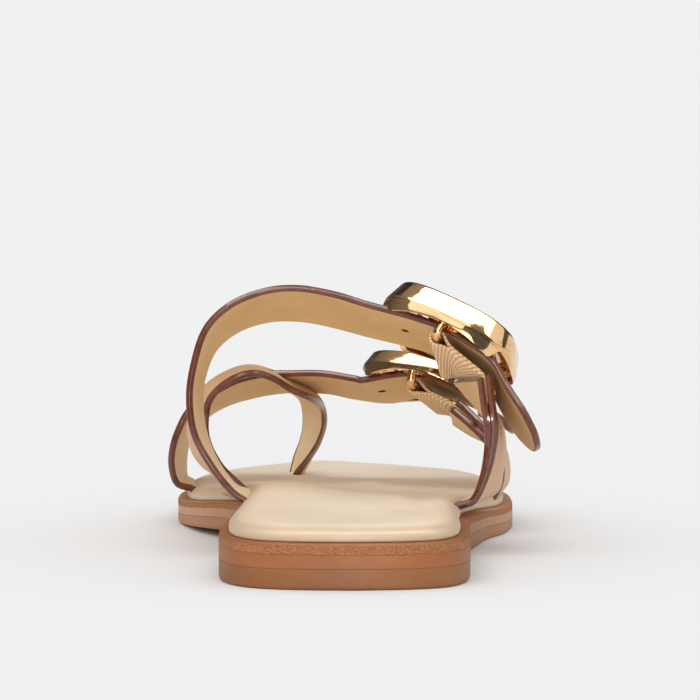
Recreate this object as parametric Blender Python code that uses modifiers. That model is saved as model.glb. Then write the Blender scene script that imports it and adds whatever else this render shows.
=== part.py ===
"""Flat leather toe-loop slide sandal for the right foot, with two buckled straps.

Metres, +Z up, +Y towards the toe, -X the inner (big toe) side, +X the outer side.
The origin is on the floor, in the middle of the heel's flat underside.
"""

import math

import bmesh
import bpy
from mathutils import Vector

# Sole sizes
SOLE_LENGTH = 0.252
BALL_WIDTH = 0.0934
HEEL_WIDTH = 0.0655
HEEL_CENTRE_Y = 0.030
OUTSOLE_HEEL = 0.0054
OUTSOLE_BALL = 0.0030
MIDSOLE_HEEL = 0.0066
MIDSOLE_BALL = 0.0040
ARCH_LIFT = 0.0030
TOE_SPRING = 0.0022
TOE_THINNING = 0.0010
EDGE_ROUND = 0.0009
LAYER_GAP = 0.00035

# Footbed sizes
RIM_WIDTH = 0.0026
FOOTBED_THICKNESS = 0.0046
FOOTBED_TOE_THINNING = 0.0012
FOOTBED_EDGE_ROUND = 0.0022
HEEL_DISH = 0.0011
TOE_HOLLOW = 0.0012
ARCH_SWELL = 0.0015
BALL_SWELL = 0.0009

# Strap sizes
STRAP_THICKNESS = 0.0019
INSTEP_RISE = 0.0714
FRONT_RISE = 0.0440
TUCK_LENGTH = 0.0090
TUCK_RISE = 0.0019
SEAT_GAP = 0.0003
FIT_GAP = 0.00035
TAIL_ROUND = 0.0090
HOLE_RADIUS = 0.0011
STRAP_CROWN = 0.0005
TOE_STRAP_CROWN = 0.0009

# Anchor strap and webbing sizes
ANCHOR_SPLIT_THICKNESS = 0.0044
ANCHOR_BASE_THICKNESS = 0.0021
WEBBING_THICKNESS = 0.0008
WEBBING_INSET = 0.0011
TONGUE_THICKNESS = 0.0014
TONGUE_LENGTH = 0.0075

# Buckle sizes
BUCKLE_LENGTH = 0.0388
BUCKLE_WIDTH = 0.0425
BUCKLE_DOME = 0.0080
FRONT_BUCKLE_LENGTH = 0.0348
FRONT_BUCKLE_WIDTH = 0.0415
FRONT_BUCKLE_DOME = 0.0054
BUCKLE_BAND = 0.0068
BUCKLE_WALL = 0.0012
BUCKLE_SAG = 0.0044
BUCKLE_TOP_SAG = 0.0012
BUCKLE_END_RAISE = 0.0044
BUCKLE_RAISE_BLEND = 0.0030
BAR_RADIUS = 0.0012
BAR_CLEAR = 0.0003
BAR_DROP = 0.0030
PRONG_RADIUS = 0.0009
PRONG_CLIMB = 0.0055
INSTEP_DIP = 0.0015
INSTEP_SLIDE = 0.0012
FRONT_DIP = 0.0031
FRONT_SLIDE = 0.0024
THREAD_SPACING = 0.0075
THREAD_CLEAR = 0.0004

# Section across the buckle's band. A side of 1 is its outer edge, -1 its inner edge.
# The first list runs over the dome, the second back through the trough beneath.
# Columns: side, share of the dome's height
BAND_DOME = (
    (-1.00, 0.00),
    (-1.00, 0.40),
    (-0.80, 0.72),
    (-0.36, 0.94),
    (0.05, 1.00),
    (0.36, 0.96),
    (1.00, 0.31),
    (1.00, 0.00),
)
BAND_TROUGH = ((0.58, 0.34), (0.00, 0.44), (-0.58, 0.34))
BAND_WALL_TOP = 0.31

BALL_HALF = BALL_WIDTH / 2
HEEL_HALF = HEEL_WIDTH / 2

# Outline: station as a share of SOLE_LENGTH, then the inner and outer half widths.
# A half width is a share of HEEL_HALF behind the waist and of BALL_HALF ahead of it.
# Columns: station, share of heel half, share of ball half (inner); same two (outer)
OUTLINE = (
    (0.000, 0.000, 0.000, 0.000, 0.000),
    (0.008, 0.470, 0.000, 0.490, 0.000),
    (0.024, 0.740, 0.000, 0.770, 0.000),
    (0.055, 0.905, 0.000, 0.925, 0.000),
    (0.095, 0.985, 0.000, 0.985, 0.000),
    (0.150, 1.000, 0.000, 1.000, 0.000),
    (0.230, 0.970, 0.000, 0.995, 0.000),
    (0.310, 0.700, 0.150, 0.800, 0.152),
    (0.380, 0.350, 0.363, 0.500, 0.377),
    (0.440, 0.100, 0.555, 0.200, 0.640),
    (0.500, 0.000, 0.710, 0.000, 0.835),
    (0.560, 0.000, 0.850, 0.000, 0.940),
    (0.620, 0.000, 0.940, 0.000, 0.992),
    (0.680, 0.000, 0.995, 0.000, 1.000),
    (0.740, 0.000, 1.000, 0.000, 0.985),
    (0.800, 0.000, 0.950, 0.000, 0.905),
    (0.860, 0.000, 0.850, 0.000, 0.765),
    (0.915, 0.000, 0.690, 0.000, 0.560),
    (0.955, 0.000, 0.515, 0.000, 0.330),
    (0.985, 0.000, 0.345, 0.000, 0.080),
    (1.000, 0.000, 0.140, 0.000, -0.140),
)

# Side profile. Columns: station, heel share of the layers, arch share, toe spring share
PROFILE = (
    (0.00, 1.00, 0.00, 0.00),
    (0.16, 1.00, 0.00, 0.00),
    (0.24, 0.93, 0.10, 0.00),
    (0.32, 0.72, 0.65, 0.00),
    (0.40, 0.50, 1.00, 0.00),
    (0.48, 0.30, 0.95, 0.00),
    (0.56, 0.10, 0.60, 0.00),
    (0.63, 0.00, 0.22, 0.00),
    (0.68, 0.00, 0.00, 0.00),
    (0.78, 0.00, 0.00, 0.00),
    (0.86, 0.00, 0.00, 0.14),
    (0.93, 0.00, 0.00, 0.45),
    (1.00, 0.00, 0.00, 1.00),
)

# Strap tables. Each row is the near (heel side) edge and the far (toe side) edge:
# x as a share of BALL_HALF, y of SOLE_LENGTH, z of the strap's rise above the floor.
# Columns: near x, near y, near z, far x, far y, far z
INSTEP_ROWS = (
    (-0.648, 0.317, 0.251, -0.643, 0.429, 0.232),
    (-0.761, 0.317, 0.345, -0.743, 0.429, 0.319),
    (-0.857, 0.321, 0.462, -0.813, 0.435, 0.427),
    (-0.887, 0.329, 0.588, -0.837, 0.440, 0.539),
    (-0.865, 0.337, 0.714, -0.822, 0.448, 0.644),
    (-0.796, 0.349, 0.849, -0.752, 0.458, 0.748),
    (-0.657, 0.357, 0.938, -0.613, 0.466, 0.818),
    (-0.457, 0.363, 0.990, -0.426, 0.470, 0.854),
    (-0.261, 0.365, 0.999, -0.230, 0.468, 0.852),
    (-0.065, 0.363, 0.978, -0.043, 0.466, 0.828),
    (0.122, 0.357, 0.943, 0.135, 0.462, 0.798),
    (0.291, 0.353, 0.918, 0.287, 0.456, 0.772),
    (0.435, 0.347, 0.912, 0.413, 0.450, 0.766),
    (0.615, 0.338, 0.912, 0.585, 0.442, 0.768),
    (0.752, 0.329, 0.822, 0.722, 0.435, 0.704),
    (0.835, 0.321, 0.737, 0.804, 0.429, 0.639),
    (0.930, 0.319, 0.639, 0.883, 0.423, 0.569),
    (1.013, 0.317, 0.557, 0.943, 0.419, 0.493),
    (1.078, 0.317, 0.482, 1.004, 0.415, 0.426),
    (1.130, 0.317, 0.401, 1.057, 0.413, 0.364),
)
INSTEP_BAR_ROW = 13
INSTEP_HOLE_ROWS = (11.35,)

FRONT_ROWS = (
    (-1.002, 0.651, 0.268, -0.967, 0.750, 0.261),
    (-1.034, 0.643, 0.382, -0.972, 0.744, 0.364),
    (-1.026, 0.639, 0.500, -0.958, 0.740, 0.466),
    (-0.988, 0.637, 0.627, -0.915, 0.739, 0.557),
    (-0.926, 0.640, 0.743, -0.843, 0.741, 0.650),
    (-0.813, 0.646, 0.804, -0.726, 0.742, 0.727),
    (-0.661, 0.647, 0.877, -0.578, 0.742, 0.777),
    (-0.491, 0.647, 0.941, -0.426, 0.742, 0.809),
    (-0.313, 0.643, 0.975, -0.261, 0.740, 0.820),
    (-0.122, 0.631, 0.977, -0.096, 0.730, 0.818),
    (0.052, 0.621, 0.953, 0.065, 0.722, 0.786),
    (0.204, 0.613, 0.945, 0.209, 0.714, 0.764),
    (0.330, 0.605, 0.986, 0.326, 0.704, 0.795),
    (0.452, 0.599, 1.030, 0.430, 0.700, 0.832),
    (0.578, 0.591, 0.943, 0.552, 0.692, 0.764),
    (0.683, 0.583, 0.866, 0.680, 0.683, 0.742),
    (0.800, 0.575, 0.790, 0.806, 0.675, 0.705),
    (0.904, 0.567, 0.734, 0.902, 0.667, 0.658),
    (1.017, 0.563, 0.618, 0.992, 0.663, 0.590),
)
FRONT_BAR_ROW = 13
FRONT_HOLE_ROWS = (11.2,)

TOE_ROWS = (
    (-0.635, 0.440, 0.400, -0.717, 0.540, 0.352),
    (-0.726, 0.448, 0.500, -0.839, 0.552, 0.466),
    (-0.796, 0.470, 0.636, -0.900, 0.571, 0.591),
    (-0.809, 0.498, 0.759, -0.900, 0.603, 0.692),
    (-0.783, 0.532, 0.868, -0.860, 0.643, 0.802),
    (-0.683, 0.566, 0.957, -0.745, 0.687, 0.882),
    (-0.557, 0.591, 0.995, -0.600, 0.726, 0.918),
    (-0.437, 0.611, 0.959, -0.448, 0.766, 0.855),
    (-0.313, 0.643, 0.866, -0.335, 0.778, 0.805),
    (-0.187, 0.683, 0.784, -0.274, 0.778, 0.755),
    (-0.135, 0.724, 0.705, -0.252, 0.790, 0.673),
    (-0.130, 0.748, 0.591, -0.248, 0.802, 0.568),
    (-0.161, 0.770, 0.473, -0.270, 0.813, 0.455),
    (-0.226, 0.790, 0.359, -0.304, 0.821, 0.355),
    (-0.287, 0.802, 0.277, -0.322, 0.827, 0.273),
    (-0.322, 0.808, 0.215, -0.335, 0.829, 0.215),
)

INSTEP_ANCHOR_ROWS = (
    (0.735, 0.325, 0.213, 0.874, 0.464, 0.204),
    (0.791, 0.325, 0.290, 0.900, 0.458, 0.283),
    (0.824, 0.325, 0.378, 0.907, 0.452, 0.361),
    (0.837, 0.325, 0.476, 0.878, 0.446, 0.454),
    (0.817, 0.325, 0.583, 0.791, 0.440, 0.541),
    (0.798, 0.325, 0.681, 0.661, 0.435, 0.640),
)

FRONT_ANCHOR_ROWS = (
    (0.915, 0.563, 0.330, 0.965, 0.675, 0.284),
    (0.915, 0.563, 0.432, 0.962, 0.675, 0.375),
    (0.880, 0.565, 0.545, 0.935, 0.671, 0.468),
    (0.813, 0.567, 0.641, 0.870, 0.669, 0.544),
    (0.717, 0.573, 0.741, 0.765, 0.671, 0.605),
    (0.643, 0.579, 0.805, 0.664, 0.679, 0.671),
)

# How a strap's end bends up at the rim.
# Columns: reach under the footbed as a share of TUCK_LENGTH, share of TUCK_RISE
TUCK_CURVE = ((1.00, 0.05), (0.66, 0.05), (0.40, 0.10), (0.19, 0.42), (0.04, 1.00))

# Seats where the straps go under the footbed. Columns: near station, far station
INSTEP_SEAT = (0.317, 0.429)
FRONT_SEAT = (0.655, 0.754)
TOE_SEAT = (0.434, 0.532)
INSTEP_ANCHOR_SEAT = (0.325, 0.468)
FRONT_ANCHOR_SEAT = (0.563, 0.679)

# Extra stations where a strap bends at its seat
SEAT_DENSITY = 1.8

# Mesh counts: strips across a strap, points round the sole, sections along the straps
ACROSS_COUNT = 4
EDGE_COUNT = 60
INSTEP_COUNT = 46
FRONT_COUNT = 42
TOE_COUNT = 40
ANCHOR_COUNT = 20
WEBBING_COUNT = 5
FRAME_COUNT = 36

COLLECTION_NAME = "toe_loop_sandal"
CUTTERS_NAME = "cutters"


def smooth(value):
    """Ease a share from 0 to 1 with flat ends."""
    value = max(0.0, min(1.0, value))
    return value * value * (3 - 2 * value)


def bump(value, centre, half_width):
    """Soft hill of height 1 at the centre that ends at the half width."""
    return 1 - smooth(abs(value - centre) / half_width)


def catmull(points, position):
    """Point at a row position on the smooth curve through the points."""
    last = len(points) - 1
    index = min(max(int(position), 0), last - 1)
    share = position - index
    p1 = points[index]
    p2 = points[index + 1]
    p0 = points[index - 1] if index > 0 else 2 * p1 - p2
    p3 = points[index + 2] if index + 2 <= last else 2 * p2 - p1
    square = share * share
    cube = square * share
    return 0.5 * (
        2 * p1
        + (p2 - p0) * share
        + (2 * p0 - 5 * p1 + 4 * p2 - p3) * square
        + (3 * p1 - 3 * p2 + p3 - p0) * cube
    )


def table_value(table, station, column):
    """Read a column of a table at a station, smoothly between its rows."""
    for index in range(len(table) - 1):
        if station <= table[index + 1][0]:
            break
    low = table[index][0]
    high = table[index + 1][0]
    share = (station - low) / (high - low)
    values = [Vector((row[column], 0.0, 0.0)) for row in table]
    return catmull(values, index + max(0.0, min(1.0, share))).x


def station_of(y):
    """Share of the sole's length at a distance from the back of the heel."""
    return max(0.0, min(1.0, (y + HEEL_CENTRE_Y) / SOLE_LENGTH))


def y_of(station):
    """World y of a station; the origin is the middle of the heel."""
    return station * SOLE_LENGTH - HEEL_CENTRE_Y


def half_width(y, side):
    """Sole half width on a side, -1 for the inner and 1 for the outer."""
    station = station_of(y)
    column = 1 if side < 0 else 3
    heel = table_value(OUTLINE, station, column) * HEEL_HALF
    ball = table_value(OUTLINE, station, column + 1) * BALL_HALF
    return heel + ball


def underside(x, y):
    """Height of the outsole's underside above the floor."""
    station = station_of(y)
    inner = smooth(0.5 - x / BALL_WIDTH)
    arch = max(0.0, table_value(PROFILE, station, 2)) * ARCH_LIFT * inner
    return arch + max(0.0, table_value(PROFILE, station, 3)) * TOE_SPRING


def outsole_top(x, y):
    """Height of the line between the two sole layers."""
    share = table_value(PROFILE, station_of(y), 1)
    return underside(x, y) + OUTSOLE_BALL + (OUTSOLE_HEEL - OUTSOLE_BALL) * share


def midsole_top(x, y):
    """Height of the rim that the footbed and the straps sit on."""
    station = station_of(y)
    share = table_value(PROFILE, station, 1)
    thinning = TOE_THINNING * smooth((station - 0.80) / 0.20)
    layer = MIDSOLE_BALL + (MIDSOLE_HEEL - MIDSOLE_BALL) * share
    return outsole_top(x, y) + layer - thinning


def footbed_top(x, y):
    """Height of the moulded footbed, without its rounded edge."""
    station = station_of(y)
    across = x / BALL_HALF
    height = FOOTBED_THICKNESS - FOOTBED_TOE_THINNING * smooth((station - 0.78) / 0.22)
    height -= HEEL_DISH * bump(station, 0.13, 0.17) * bump(across, 0.0, 0.75)
    hollow_station = 0.785 - 0.05 * across
    height -= TOE_HOLLOW * bump(station, hollow_station, 0.055) * bump(across, -0.05, 1.05)
    height += ARCH_SWELL * bump(station, 0.43, 0.18) * bump(across, -0.45, 0.55)
    height += BALL_SWELL * bump(station, 0.56, 0.13) * bump(across, 0.15, 0.60)
    return midsole_top(x, y) + height


def outline_points(count, inset):
    """Closed outline of the sole moved inwards by the inset, seen from above."""
    half = count // 2
    points = []
    for side in (1, -1):
        for index in range(half):
            turn = math.pi * index / half
            if side < 0:
                turn = math.pi - turn
            station = (1 - math.cos(turn)) / 2
            y = y_of(station)
            points.append(Vector((side * half_width(y, side), y, 0.0)))
    moved = []
    total = len(points)
    for index, point in enumerate(points):
        along = points[(index + 1) % total] - points[index - 1]
        inward = Vector((-along.y, along.x, 0.0)).normalized()
        moved.append(point + inward * inset)
    return moved


def spine_points(outline):
    """Foot of each outline point on the sole's middle line, the same on both sides."""
    low = y_of(0.16)
    high = y_of(0.82)
    feet = []
    for index, point in enumerate(outline):
        twin = outline[-index]
        y = max(low, min(high, (point.y + twin.y) / 2))
        x = (half_width(y, 1) - half_width(y, -1)) / 2
        feet.append(Vector((x, y, 0.0)))
    return feet


def new_object(name, mesh, material, collection):
    """Link a mesh to a collection as a named object with its material."""
    obj = bpy.data.objects.new(name, mesh)
    if material is not None:
        mesh.materials.append(material)
    collection.objects.link(obj)
    return obj


def mesh_from(bm, name, smooth_angle=50):
    """Turn a bmesh into a smooth shaded mesh with outward normals."""
    bmesh.ops.recalc_face_normals(bm, faces=bm.faces)
    mesh = bpy.data.meshes.new(name)
    bm.to_mesh(mesh)
    bm.free()
    mesh.shade_smooth()
    mesh.set_sharp_from_angle(angle=math.radians(smooth_angle))
    return mesh


def loft(name, rings, capped=True):
    """Join closed rings of points into a skin, capped or joined end to end."""
    bm = bmesh.new()
    rows = [[bm.verts.new(point) for point in ring] for ring in rings]
    size = len(rows[0])
    pairs = list(zip(rows, rows[1:]))
    if not capped:
        pairs.append((rows[-1], rows[0]))
    for first, second in pairs:
        for index in range(size):
            after = (index + 1) % size
            bm.faces.new((first[index], first[after], second[after], second[index]))
    if capped:
        bm.faces.new(rows[0])
        bm.faces.new(rows[-1])
    return mesh_from(bm, name)


def sole_layer(name, outline, shares, bottom, top, edge_rounds):
    """Layer of the sole: rings shrink from its edge to its middle line.

    outline: points of the edge; shares: ring sizes; bottom, top: height functions;
    edge_rounds: (bottom, top) rounding of the edge.
    """
    bm = bmesh.new()
    feet = spine_points(outline)
    low_round, high_round = edge_rounds

    def ring_at(share, height, drop=0.0, tuck=0.0):
        ring = []
        for point, foot in zip(outline, feet):
            ray = point - foot
            reach = ray.length
            scale = max(0.0, (reach - tuck) / reach) * share
            spot = foot + ray * scale
            ring.append(Vector((spot.x, spot.y, height(spot.x, spot.y) + drop)))
        return ring

    rings = [ring_at(share, bottom) for share in reversed(shares[1:])]
    rings.append(ring_at(1.0, bottom, 0.0, low_round))
    rings.append(ring_at(1.0, bottom, low_round))
    rings.append(ring_at(1.0, top, -high_round))
    rings.append(ring_at(1.0, top, -high_round * 0.30, high_round * 0.30))
    rings.append(ring_at(1.0, top, 0.0, high_round))
    rings += [ring_at(share, top) for share in shares[1:]]
    rows = [[bm.verts.new(point) for point in ring] for ring in rings]
    size = len(outline)
    for first, second in zip(rows, rows[1:]):
        for index in range(size):
            after = (index + 1) % size
            bm.faces.new((first[index], first[after], second[after], second[index]))
    for row in (rows[0], rows[-1]):
        bmesh.ops.remove_doubles(bm, verts=row, dist=0.00001)
    return mesh_from(bm, name)


class Strip:
    """Leather strip between a near edge and a far edge, both smooth curves."""

    def __init__(self, rows, rise, start_seat=None, side=-1, crown=STRAP_CROWN):
        self.near = [self.spot(row[:3], rise) for row in rows]
        self.far = [self.spot(row[3:], rise) for row in rows]
        self.crown = crown
        self.side = side
        self.seat_rows = 0
        if start_seat:
            near_y, far_y = (y_of(station) for station in start_seat)
            self.near = self.seat(near_y, side) + self.near
            self.far = self.seat(far_y, side) + self.far
            self.seat_rows = len(TUCK_CURVE)

    @staticmethod
    def spot(shares, rise):
        """World point of one table entry."""
        return Vector((shares[0] * BALL_HALF, y_of(shares[1]), shares[2] * rise))

    @staticmethod
    def seat(y, side):
        """Three points that run out from under the footbed to the rim."""
        edge = half_width(y, side)
        lift = SEAT_GAP + STRAP_THICKNESS / 2
        points = []
        for reach, rise in TUCK_CURVE:
            x = side * (edge - RIM_WIDTH - reach * TUCK_LENGTH)
            height = midsole_top(x, y) + lift + rise * TUCK_RISE
            points.append(Vector((x, y, height)))
        return points

    def last(self):
        """Highest row position."""
        return len(self.near) - 1

    def edges(self, position):
        """Near and far edge points at a row position."""
        return catmull(self.near, position), catmull(self.far, position)

    def axes(self, position):
        """Mid point and the along, across and outward directions."""
        step = 0.02
        low = max(0.0, position - step)
        high = min(float(self.last()), position + step)
        near, far = self.edges(position)
        across = (far - near).normalized()
        before = sum(self.edges(low), Vector()) / 2
        after = sum(self.edges(high), Vector()) / 2
        along = (after - before).normalized()
        outward = across.cross(along).normalized() * self.side
        return (near + far) / 2, along, across, outward

    def point(self, position, share):
        """Point on the middle surface at a row position and a share across."""
        near, far = self.edges(position)
        middle, along, across, outward = self.axes(position)
        hill = 4 * share * (1 - share) * self.crown
        fade = smooth((position - self.seat_rows) / 1.5)
        return near.lerp(far, share) + outward * hill * fade

    def positions(self, count):
        """Row positions that are evenly spaced along the strip."""
        fine = 400
        top = self.last()
        places = [top * index / fine for index in range(fine + 1)]
        mids = [sum(self.edges(place), Vector()) / 2 for place in places]
        lengths = [0.0]
        for place, before, after in zip(places, mids, mids[1:]):
            dense = SEAT_DENSITY if place < self.seat_rows else 1.0
            lengths.append(lengths[-1] + (after - before).length * dense)
        found = []
        index = 0
        for step in range(count + 1):
            target = lengths[-1] * step / count
            while index < fine - 1 and lengths[index + 1] < target:
                index += 1
            span = lengths[index + 1] - lengths[index]
            share = (target - lengths[index]) / span
            found.append(places[index] + (places[index + 1] - places[index]) * share)
        return found, lengths[-1]

    def end_sign(self, position):
        """-1 at the strip's start, 1 at its end and 0 between them."""
        return (position > self.last() - 0.001) - (position < 0.001)

    def surface(self, name, count, across_count, widen=0.0, tail_round=0.0):
        """Open grid over the strip, widened at both edges, with a rounded tail."""
        positions, length = self.positions(count)
        bm = bmesh.new()
        bmesh.ops.create_grid(bm, x_segments=count, y_segments=across_count, size=0.5)
        for vert in bm.verts:
            step = (vert.co.x + 0.5) * count
            share = vert.co.y + 0.5
            if tail_round > 0:
                cut = tail_round * (1 - math.sqrt(max(0.0, 1 - (2 * share - 1) ** 2)))
                tail = 0.25
                place = step / count
                if place > 1 - tail:
                    eased = (place - 1 + tail) / tail
                    step -= count * cut / length * eased
            index = min(int(step), count - 1)
            part = step - index
            position = positions[index] + (positions[index + 1] - positions[index]) * part
            near, far = self.edges(position)
            spread = widen / (far - near).length
            spot = self.point(position, share * (1 + 2 * spread) - spread)
            vert.co = spot + self.axes(position)[1] * widen * self.end_sign(position)
        bmesh.ops.recalc_face_normals(bm, faces=bm.faces)
        mesh = bpy.data.meshes.new(name)
        bm.to_mesh(mesh)
        bm.free()
        mesh.shade_smooth()
        return mesh


def solidify(obj, thickness):
    """Give an open surface its thickness, half to each side."""
    modifier = obj.modifiers.new("leather", "SOLIDIFY")
    modifier.thickness = thickness
    modifier.offset = 0.0
    modifier.use_even_offset = True


def cut(obj, cutter):
    """Take a cutter out of an object with an exact Boolean."""
    modifier = obj.modifiers.new("cut_" + cutter.name, "BOOLEAN")
    modifier.operation = "DIFFERENCE"
    modifier.solver = "EXACT"
    modifier.object = cutter


def join(obj, other):
    """Add another solid to an object with an exact Boolean."""
    modifier = obj.modifiers.new("join_" + other.name, "BOOLEAN")
    modifier.operation = "UNION"
    modifier.solver = "EXACT"
    modifier.object = other


def material(name, color, roughness, metallic=0.0):
    """Principled material in linear colour."""
    made = bpy.data.materials.new(name)
    made.use_nodes = True
    shader = made.node_tree.nodes["Principled BSDF"]
    shader.inputs["Base Color"].default_value = (*color, 1.0)
    shader.inputs["Roughness"].default_value = roughness
    shader.inputs["Metallic"].default_value = metallic
    return made


class Buckle:
    """Domed frame with a bar, its prong and the webbing loop round the bar."""

    def __init__(self, strip, bar_row, size, dip, slide):
        self.length, self.width, self.dome = size
        self.dip = dip
        self.bar_height = -BAR_DROP
        row = bar_row + strip.seat_rows
        before = [strip.near[row - 2], strip.far[row - 2]]
        after = [strip.near[row + 2], strip.far[row + 2]]
        centre = sum(before + after, Vector()) / 4
        self.along = (sum(after, Vector()) - sum(before, Vector())).normalized()
        across = before[1] - before[0] + after[1] - after[0]
        across -= self.along * across.dot(self.along)
        self.across = across.normalized()
        self.outward = self.along.cross(self.across)
        self.origin = centre + self.along * slide + self.outward * dip
        self.thread(strip, row)

    def strap_height(self, s):
        """Height of the strap's middle surface over the webbing on the bar."""
        covered = BAR_RADIUS + BAR_CLEAR + WEBBING_THICKNESS + SEAT_GAP
        top = self.bar_height + covered + STRAP_THICKNESS / 2
        share = abs(s) / (2 * THREAD_SPACING)
        return top - (top + self.dip) * share ** 1.5

    def thread(self, strip, row):
        """Lead the strap under the frame's ends and over the webbing on the bar."""
        half = self.width / 2 - BUCKLE_BAND - THREAD_CLEAR
        for step in range(-2, 3):
            s = step * THREAD_SPACING
            height = self.strap_height(s)
            strip.near[row + step] = self.place(s, -half, height)
            strip.far[row + step] = self.place(s, half, height)

    def place(self, s, w, n):
        """World point from along, across and outward distances."""
        return self.origin + self.along * s + self.across * w + self.outward * n

    def frame_rings(self, count):
        """Sections of the domed frame round its rounded rectangle."""
        band = BUCKLE_BAND
        opening = self.width / 2 - band
        power = 0.62
        rings = []
        for index in range(count):
            turn = 2 * math.pi * (index + 0.5) / count
            c = math.cos(turn)
            s = math.sin(turn)
            mid_s = (self.length - band) / 2 * math.copysign(abs(c) ** power, c)
            mid_w = (self.width - band) / 2 * math.copysign(abs(s) ** power, s)
            out = Vector((
                c * abs(c) ** 0.5 / self.length,
                s * abs(s) ** 0.5 / self.width,
            )).normalized()
            ring = []
            for side, share in self.band_section():
                s_at = mid_s + out.x * side * band / 2
                w_at = mid_w + out.y * side * band / 2
                reach = abs(2 * s_at / self.length)
                arch = reach ** 2
                over = smooth((opening + BUCKLE_RAISE_BLEND - abs(w_at)) / BUCKLE_RAISE_BLEND)
                raised = BUCKLE_END_RAISE * over * smooth((reach - 0.12) / 0.3)
                upper = min(1.0, share / BAND_WALL_TOP)
                low = (raised - BUCKLE_SAG * arch) * (1 - upper)
                high = -BUCKLE_TOP_SAG * arch * upper
                ring.append(self.place(s_at, w_at, self.dome * share + low + high))
            rings.append(ring)
        return rings

    @staticmethod
    def band_section():
        """Closed outline of the domed band with an open trough beneath."""
        wall = 2 * BUCKLE_WALL / BUCKLE_BAND
        return (*BAND_DOME, (1.00 - wall, 0.0), *BAND_TROUGH, (-1.00 + wall, 0.0))

    def bar_path(self):
        """Bar across the frame with a post up into each side."""
        reach = (self.width - BUCKLE_BAND) / 2
        low = self.bar_height
        bend = BAR_RADIUS * 0.8
        top = self.dome * 0.60
        half = [(reach, top), (reach, low + bend), (reach - bend, low)]
        return [(0.0, -w, n) for w, n in half] + [(0.0, w, n) for w, n in reversed(half)]

    def prong_path(self, spare=0.0):
        """Prong from its eye on the bar, through the strap, to under the frame's end.

        spare: how much longer each end is, for the slot that the prong runs in.
        """
        eye = BAR_RADIUS + BAR_CLEAR + PRONG_RADIUS
        extra = spare / eye
        turns = [math.radians(angle) for angle in range(-150, 91, 40)]
        turns[0] -= extra
        points = [
            (eye * math.cos(turn), 0.0, self.bar_height + eye * math.sin(turn))
            for turn in turns
        ]
        lift = STRAP_THICKNESS / 2 + FIT_GAP + PRONG_RADIUS
        reach = self.length / 2 - BUCKLE_BAND / 2 + spare
        start = points[-1][2]
        for share in (0.14, 0.28, 0.46, 0.64, 0.82, 1.0):
            s = -reach * share
            climb = smooth(-s / PRONG_CLIMB)
            height = start + (self.strap_height(s) + lift - start) * climb
            points.append((s, 0.0, height))
        return points

    def wire(self, name, path, radius, collection):
        """Round curve along a path of local points, made into a mesh object."""
        curve = bpy.data.curves.new(name, "CURVE")
        curve.dimensions = "3D"
        curve.bevel_depth = radius
        curve.bevel_resolution = 2
        curve.use_fill_caps = True
        spline = curve.splines.new("POLY")
        spline.points.add(len(path) - 1)
        for spline_point, (s, w, n) in zip(spline.points, path):
            spline_point.co = (*self.place(s, w, n), 1.0)
        obj = bpy.data.objects.new(name, curve)
        collection.objects.link(obj)
        bpy.context.view_layer.update()
        graph = bpy.context.evaluated_depsgraph_get()
        mesh = bpy.data.meshes.new_from_object(obj.evaluated_get(graph))
        matrix = obj.matrix_world.copy()
        bpy.data.objects.remove(obj)
        bm = bmesh.new()
        bm.from_mesh(mesh)
        bmesh.ops.remove_doubles(bm, verts=bm.verts, dist=0.00002)
        bmesh.ops.recalc_face_normals(bm, faces=bm.faces)
        bm.to_mesh(mesh)
        bm.free()
        made = bpy.data.objects.new(name, mesh)
        made.matrix_world = matrix
        return made


class Webbing:
    """Elastic webbing: an eye round the bar and a tongue in the anchor's split top."""

    def __init__(self, buckle, anchor):
        self.buckle = buckle
        self.anchor = anchor
        top = anchor.last()
        near, far = anchor.edges(top)
        middle, along, across, outward = anchor.axes(top)
        length = (far - near).length
        inset = WEBBING_INSET / length
        self.mouth = (near.lerp(far, inset), near.lerp(far, 1 - inset))
        below_near, below_far = anchor.edges(top - 0.05)
        self.down = (
            (below_near - near).normalized(),
            (below_far - far).normalized(),
        )

    def section(self, share, grow=0.0, hole=False):
        """Closed outline at a share across the width."""
        buckle = self.buckle
        half = (self.mouth[1] - self.mouth[0]).length / 2
        centre = buckle.place(0.0, (share - 0.5) * 2 * half, buckle.bar_height)
        mouth = self.mouth[0].lerp(self.mouth[1], share)
        down = self.down[0].lerp(self.down[1], share).normalized()
        ray = mouth - centre
        reach = ray.length
        away = ray.normalized()
        side = away.cross(buckle.across).normalized()
        if side.dot(buckle.outward) < 0:
            side = -side
        inner = BAR_RADIUS + BAR_CLEAR
        radius = inner if hole else inner + WEBBING_THICKNESS + grow
        tip = TONGUE_THICKNESS / 2 + grow
        close = 0.35 if hole else 1.0
        if hole:
            tip = 0.00012
            reach *= 0.62
        lean = math.asin(min(0.95, (radius - tip) / reach))
        points = []
        steps = 9
        start = math.pi / 2 - lean
        sweep = 2 * math.pi - 2 * start
        for index in range(steps + 1):
            turn = start + sweep * index / steps
            points.append(
                centre + away * math.cos(turn) * radius + side * math.sin(turn) * radius
            )
        if hole:
            end = centre + away * reach * close / 0.35
            return points + [end - side * tip, end + side * tip]
        cross = down.cross(buckle.across).normalized()
        if cross.dot(side) < 0:
            cross = -cross
        bend = (cross + side) * tip / (1 + cross.dot(side))
        foot = mouth + down * (TONGUE_LENGTH + grow)
        return points + [mouth - bend, foot - cross * tip, foot + cross * tip, mouth + bend]

    def mesh(self, name, count, grow=0.0, hole=False, widen=0.0):
        """Skin of the sections from the near edge to the far edge."""
        rings = []
        for index in range(count + 1):
            share = index / count * (1 + 2 * widen) - widen
            rings.append(self.section(share, grow, hole))
        return loft(name, rings)


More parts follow.
